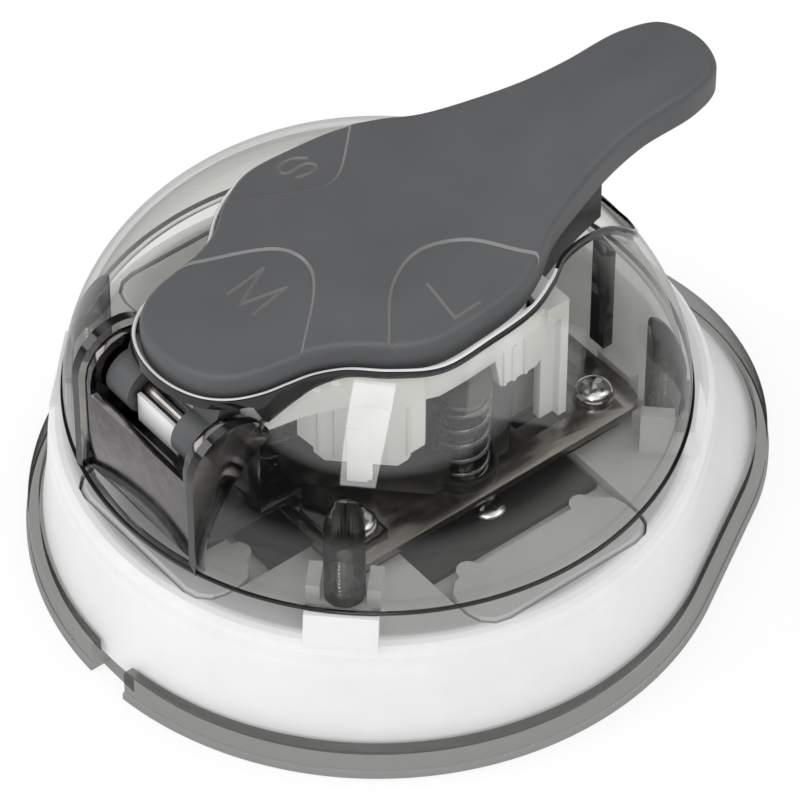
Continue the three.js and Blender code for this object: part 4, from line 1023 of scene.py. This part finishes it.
def turned_to(side, x, y, z):
    angle = SIDE_TURNS[side] * QUARTER
    c, s = math.cos(angle), math.sin(angle)
    return (x * c - y * s, x * s + y * c, z)


def spring_path(side):
    """The coil's centre line: one close turn, four open turns and one close turn."""
    path = []
    total = SPRING_TURNS + 2 * END_TURNS
    middle = SPRING_HEIGHT - 2 * WIRE_RADIUS - 2 * END_PITCH * END_TURNS
    for step in range(total * SPRING_STEPS + 1):
        turn = step / SPRING_STEPS
        open_turns = min(max(turn - END_TURNS, 0), SPRING_TURNS)
        z = END_PITCH * (turn - open_turns) + middle * open_turns / SPRING_TURNS
        angle = math.tau * turn
        x = SPRING_REACH + SPRING_RADIUS * math.cos(angle)
        y = SPRING_RADIUS * math.sin(angle)
        path.append(turned_to(side, x, y, SPRING_FOOT + WIRE_RADIUS + z))
    return path


def springs():
    for side in SIDE_TURNS:
        coil = tube("coil_" + side, spring_path(side), WIRE_RADIUS, SPRING)
        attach(coil, "housing")
        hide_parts("return_spring_" + side)
        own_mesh(coil)


# Screws


def thread(x, y, z0, z1, crest):
    """A threaded shank: its radius rises and falls along a helix."""
    core = crest * CORE_SHARE
    count = max(int((z1 - z0) / THREAD_PITCH * THREAD_ROWS), THREAD_ROWS)
    rings = []
    for row in range(count + 1):
        z = z0 + (z1 - z0) * row / count
        ring = []
        for step in range(THREAD_STEPS):
            wave = ((z - z0) / THREAD_PITCH - step / THREAD_STEPS) % 1
            radius = core + (crest - core) * max(0, 1 - abs(wave - 0.5) * THREAD_FLANK)
            angle = math.tau * step / THREAD_STEPS
            ring.append((x + radius * math.cos(angle), y + radius * math.sin(angle), z))
        rings.append(ring)
    return skin("shank", rings, ZINC)


def head_profile(core, radius, height):
    """A pan head's radii and heights over its seat."""
    low = height * HEAD_SIDE_SHARE
    profile = [(core, -HEAD_SINK), (core, 0), (radius - HEAD_EDGE[0], 0), (radius, HEAD_EDGE[1])]
    for c, s in arc(0, 0, 1, 0, QUARTER, 10)[:-1]:
        profile.append((radius * c ** HEAD_ROUNDING, low + (height - low) * s))
    return [*profile, (HEAD_TIP, height)]


def cross_outline(x, y, radius):
    arm, half = radius * CROSS_REACH_SHARE, radius * CROSS_HALF_SHARE
    turn = Matrix.Rotation(math.radians(CROSS_TURN), 2)
    corners = []
    for quarter in range(4):
        side = Matrix.Rotation(QUARTER * quarter, 2)
        corners += [turn @ side @ Vector(c) for c in ((arm, -half), (arm, half), (half, half))]
    return [(x + corner.x, y + corner.y) for corner in corners]


def screw(node, body, radius, head_radius, head_height, up):
    """A pan-head screw with a cross recess, in the place of its solid."""
    low, high = (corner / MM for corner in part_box(node))
    x, y = (low.x + high.x) / 2, (low.y + high.y) / 2
    seat = high.z - head_height if up > 0 else low.z + head_height
    tip = low.z if up > 0 else high.z
    rings = []
    for r, z in head_profile(radius * CORE_SHARE, head_radius, head_height):
        turns = (math.tau * step / HEAD_STEPS * up for step in range(HEAD_STEPS))
        rings.append([(x + r * math.cos(a), y + r * math.sin(a), seat + up * z) for a in turns])
    head = skin("head", rings, ZINC)
    depths = (head_height * CROSS_DEPTH_SHARE, head_height + OVERRUN)
    z0, z1 = sorted(seat + up * depth for depth in depths)
    carve(head, prism("cross", cross_outline(x, y, head_radius), z0, z1, ZINC))
    shank = thread(x, y, *sorted((seat, tip)), radius)
    made = joined(node + "_threaded", head, shank)
    shade(made, 35)
    placed(made, body, "zinc_screw", node)


def screws():
    for node in sorted(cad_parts):
        for prefix, sizes in SCREWS.items():
            if node.startswith(prefix):
                screw(node, "lever" if prefix == "lever_screw_" else "housing", *sizes)


# Softened copies of the plainer pieces


def softened(node, body, slot, width):
    piece = in_scene(node + "_softened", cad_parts[node].data.copy())
    weld(piece, FINE_WELD, True)
    if node == "lever_body":
        trim_wings(piece)
    soften(piece, width, 40)
    shade(piece, 38)
    placed(piece, body, slot, node)
    return piece


def trim_wings(body):
    """The wings' lower front corners stand back, clear of the springs at full press."""
    corners = [Vector((side * x, WING_CORNER_Y, WING_BOTTOM))
               for side in (-1, 1) for x in (WING_FACE, WING_FACE - WING_WALL)]
    for vertex in body.data.vertices:
        if min((vertex.co / MM - corner).length for corner in corners) < NEAR:
            vertex.co.y = WING_TRIMMED_Y * MM


def paint_rear_shade(body):
    """Paints shade on the lever's body under the handle, where it can be seen beside the cover."""
    y, z = (limit * MM for limit in REAR_PAINTED_SHADE)
    paint(body, DARK, lambda face: face.center.y > y and face.center.z > z)


# Ribs on the lever's legs


def on_diagonal(side, reach, across, z):
    """A point by a front leg's diagonal: how far out, how far across it, and how high."""
    share = math.sqrt(0.5)
    return (side * (reach + across) * share, -(reach - across) * share, z)


def leg_panels():
    for side in (-1, 1):
        parts = []
        for half0, half1, out, z0, z1 in LEG_PANELS:
            near, far = LEG_FACE - LEG_SINK, LEG_FACE + out
            corners = [(near, half0), (far, half0), (far, half1), (near, half1)]
            rings = [[on_diagonal(side, r, t, z) for r, t in corners] for z in (z0, z1)]
            panel = skin("panel", rings, WHITE)
            weld(panel)
            soften(panel, PANEL_ROUND)
            parts.append(panel)
        for y0, y1 in WING_RIBS:
            across = on_side(side, WING_FACE - WING_RIB_SINK, WING_FACE + WING_RIB_OUT)
            low = WING_BOTTOM + WING_RIB_LIFT
            rib = box("rib", *across, y0, y1, low, low + WING_RIB_HEIGHT, WHITE)
            weld(rib)
            soften(rib, WING_RIB_ROUND)
            parts.append(rib)
        ribs = joined("leg_ribs_" + ("left" if side < 0 else "right"), *parts)
        shade(ribs, 40)
        placed(ribs, "lever", "white_plastic")


# Studio


def aimed(name, data, azimuth, elevation, distance, aim_z):
    """A camera or light that looks from a direction at a point over the middle."""
    turn, rise = math.radians(azimuth), math.radians(elevation)
    way = Vector((math.cos(turn) * math.cos(rise), math.sin(turn) * math.cos(rise), math.sin(rise)))
    made = in_scene(name, data)
    made.location = (Vector((0, 0, aim_z)) + way * distance) * MM
    made.rotation_mode = "QUATERNION"
    made.rotation_quaternion = (-way).to_track_quat("-Z", "Y")
    return made


def camera():
    data = bpy.data.cameras.new("camera")
    data.lens, data.sensor_width = LENS, SENSOR
    data.shift_x, data.shift_y = SHIFT
    data.clip_start, data.clip_end = CLIP
    bpy.context.scene.camera = aimed("camera", data, *CAMERA_FROM, CAMERA_DISTANCE, CAMERA_AIM_Z)


def area_light(name, azimuth, elevation, distance, size, watts, only=""):
    data = bpy.data.lights.new(name, "AREA")
    data.shape = "RECTANGLE"
    data.size, data.size_y = (side * MM for side in size)
    data.energy = watts
    made = aimed(name, data, azimuth, elevation, distance, LIGHT_AIM_Z)
    made.visible_diffuse = only != "gloss"
    made.visible_glossy = only != "matte"


def world_light():
    """White for the camera, an even light for surfaces, and a graded sky for their mirror light."""
    world = bpy.data.worlds.new("studio")
    bpy.context.scene.world = world
    tree = emptied(world)
    white = (*grey(1), 1)
    seen = node_in(tree, "ShaderNodeBackground", Color=white)
    lit = node_in(tree, "ShaderNodeBackground", Color=white, Strength=WORLD_LIGHT)
    mirrored = node_in(tree, "ShaderNodeBackground", Strength=MIRRORED_LIGHT)
    height = node_in(tree, "ShaderNodeSeparateXYZ")
    wire(tree, node_in(tree, "ShaderNodeTexCoord"), "Generated", height, "Vector")
    sky = ramp_of(tree, height.outputs["Z"], [(z, grey(tone)) for z, tone in MIRRORED_SKY])
    tree.links.new(sky, mirrored.inputs["Color"])
    rays = node_in(tree, "ShaderNodeLightPath").outputs
    lights = mixed(tree, rays["Is Glossy Ray"], lit.outputs["Background"], mirrored.outputs["Background"])
    either = math_node(tree, "MAXIMUM", rays["Is Camera Ray"], rays["Is Transmission Ray"])
    shown(tree, mixed(tree, either, lights, seen.outputs["Background"]), "ShaderNodeOutputWorld")


def floor():
    """A matte floor, which the camera sees brightened and with the object's shadow."""
    material = bpy.data.materials.new("floor")
    tree = emptied(material)
    matte = node_in(tree, "ShaderNodeBsdfDiffuse", Color=(*grey(FLOOR_TONE), 1))
    glow = node_in(tree, "ShaderNodeEmission", Strength=FLOOR_GLOW)
    seen = node_in(tree, "ShaderNodeLightPath").outputs["Is Camera Ray"]
    share = math_node(tree, "MULTIPLY", seen, FLOOR_GLOW_SHARE)
    shown(tree, mixed(tree, share, matte.outputs["BSDF"], glow.outputs["Emission"]))
    h = FLOOR_HALF
    corners = [(-h, -h, 0), (h, -h, 0), (h, h, 0), (-h, h, 0)]
    sheet = piece_of("floor", corners, [(0, 1, 2, 3)], material)
    sheet.location.z = -FLOOR_DROP * MM


def studio():
    world_light()
    for light in LIGHTS:
        area_light(*light)
    floor()


dress_nodes()
smooth_tray()
smooth_skirt()
springs()
screws()
leg_panels()
pieces = {row[0]: softened(*row) for row in SOFTENED}
paint_rear_shade(pieces["lever_body"])
placed(joined("lever_top", lever_cover(), *knuckles()), "lever", "grey_plastic", "lever_cover")
dome = joined("dome", dome_shell(), dome_lip(), dome_rim(), *dome_cheeks(), *dome_bosses(), *dome_ribs())
placed(dome, "housing", "smoke_plastic", "dome_cover")

camera()
studio()
bpy.context.scene.view_settings.view_transform = "Standard"
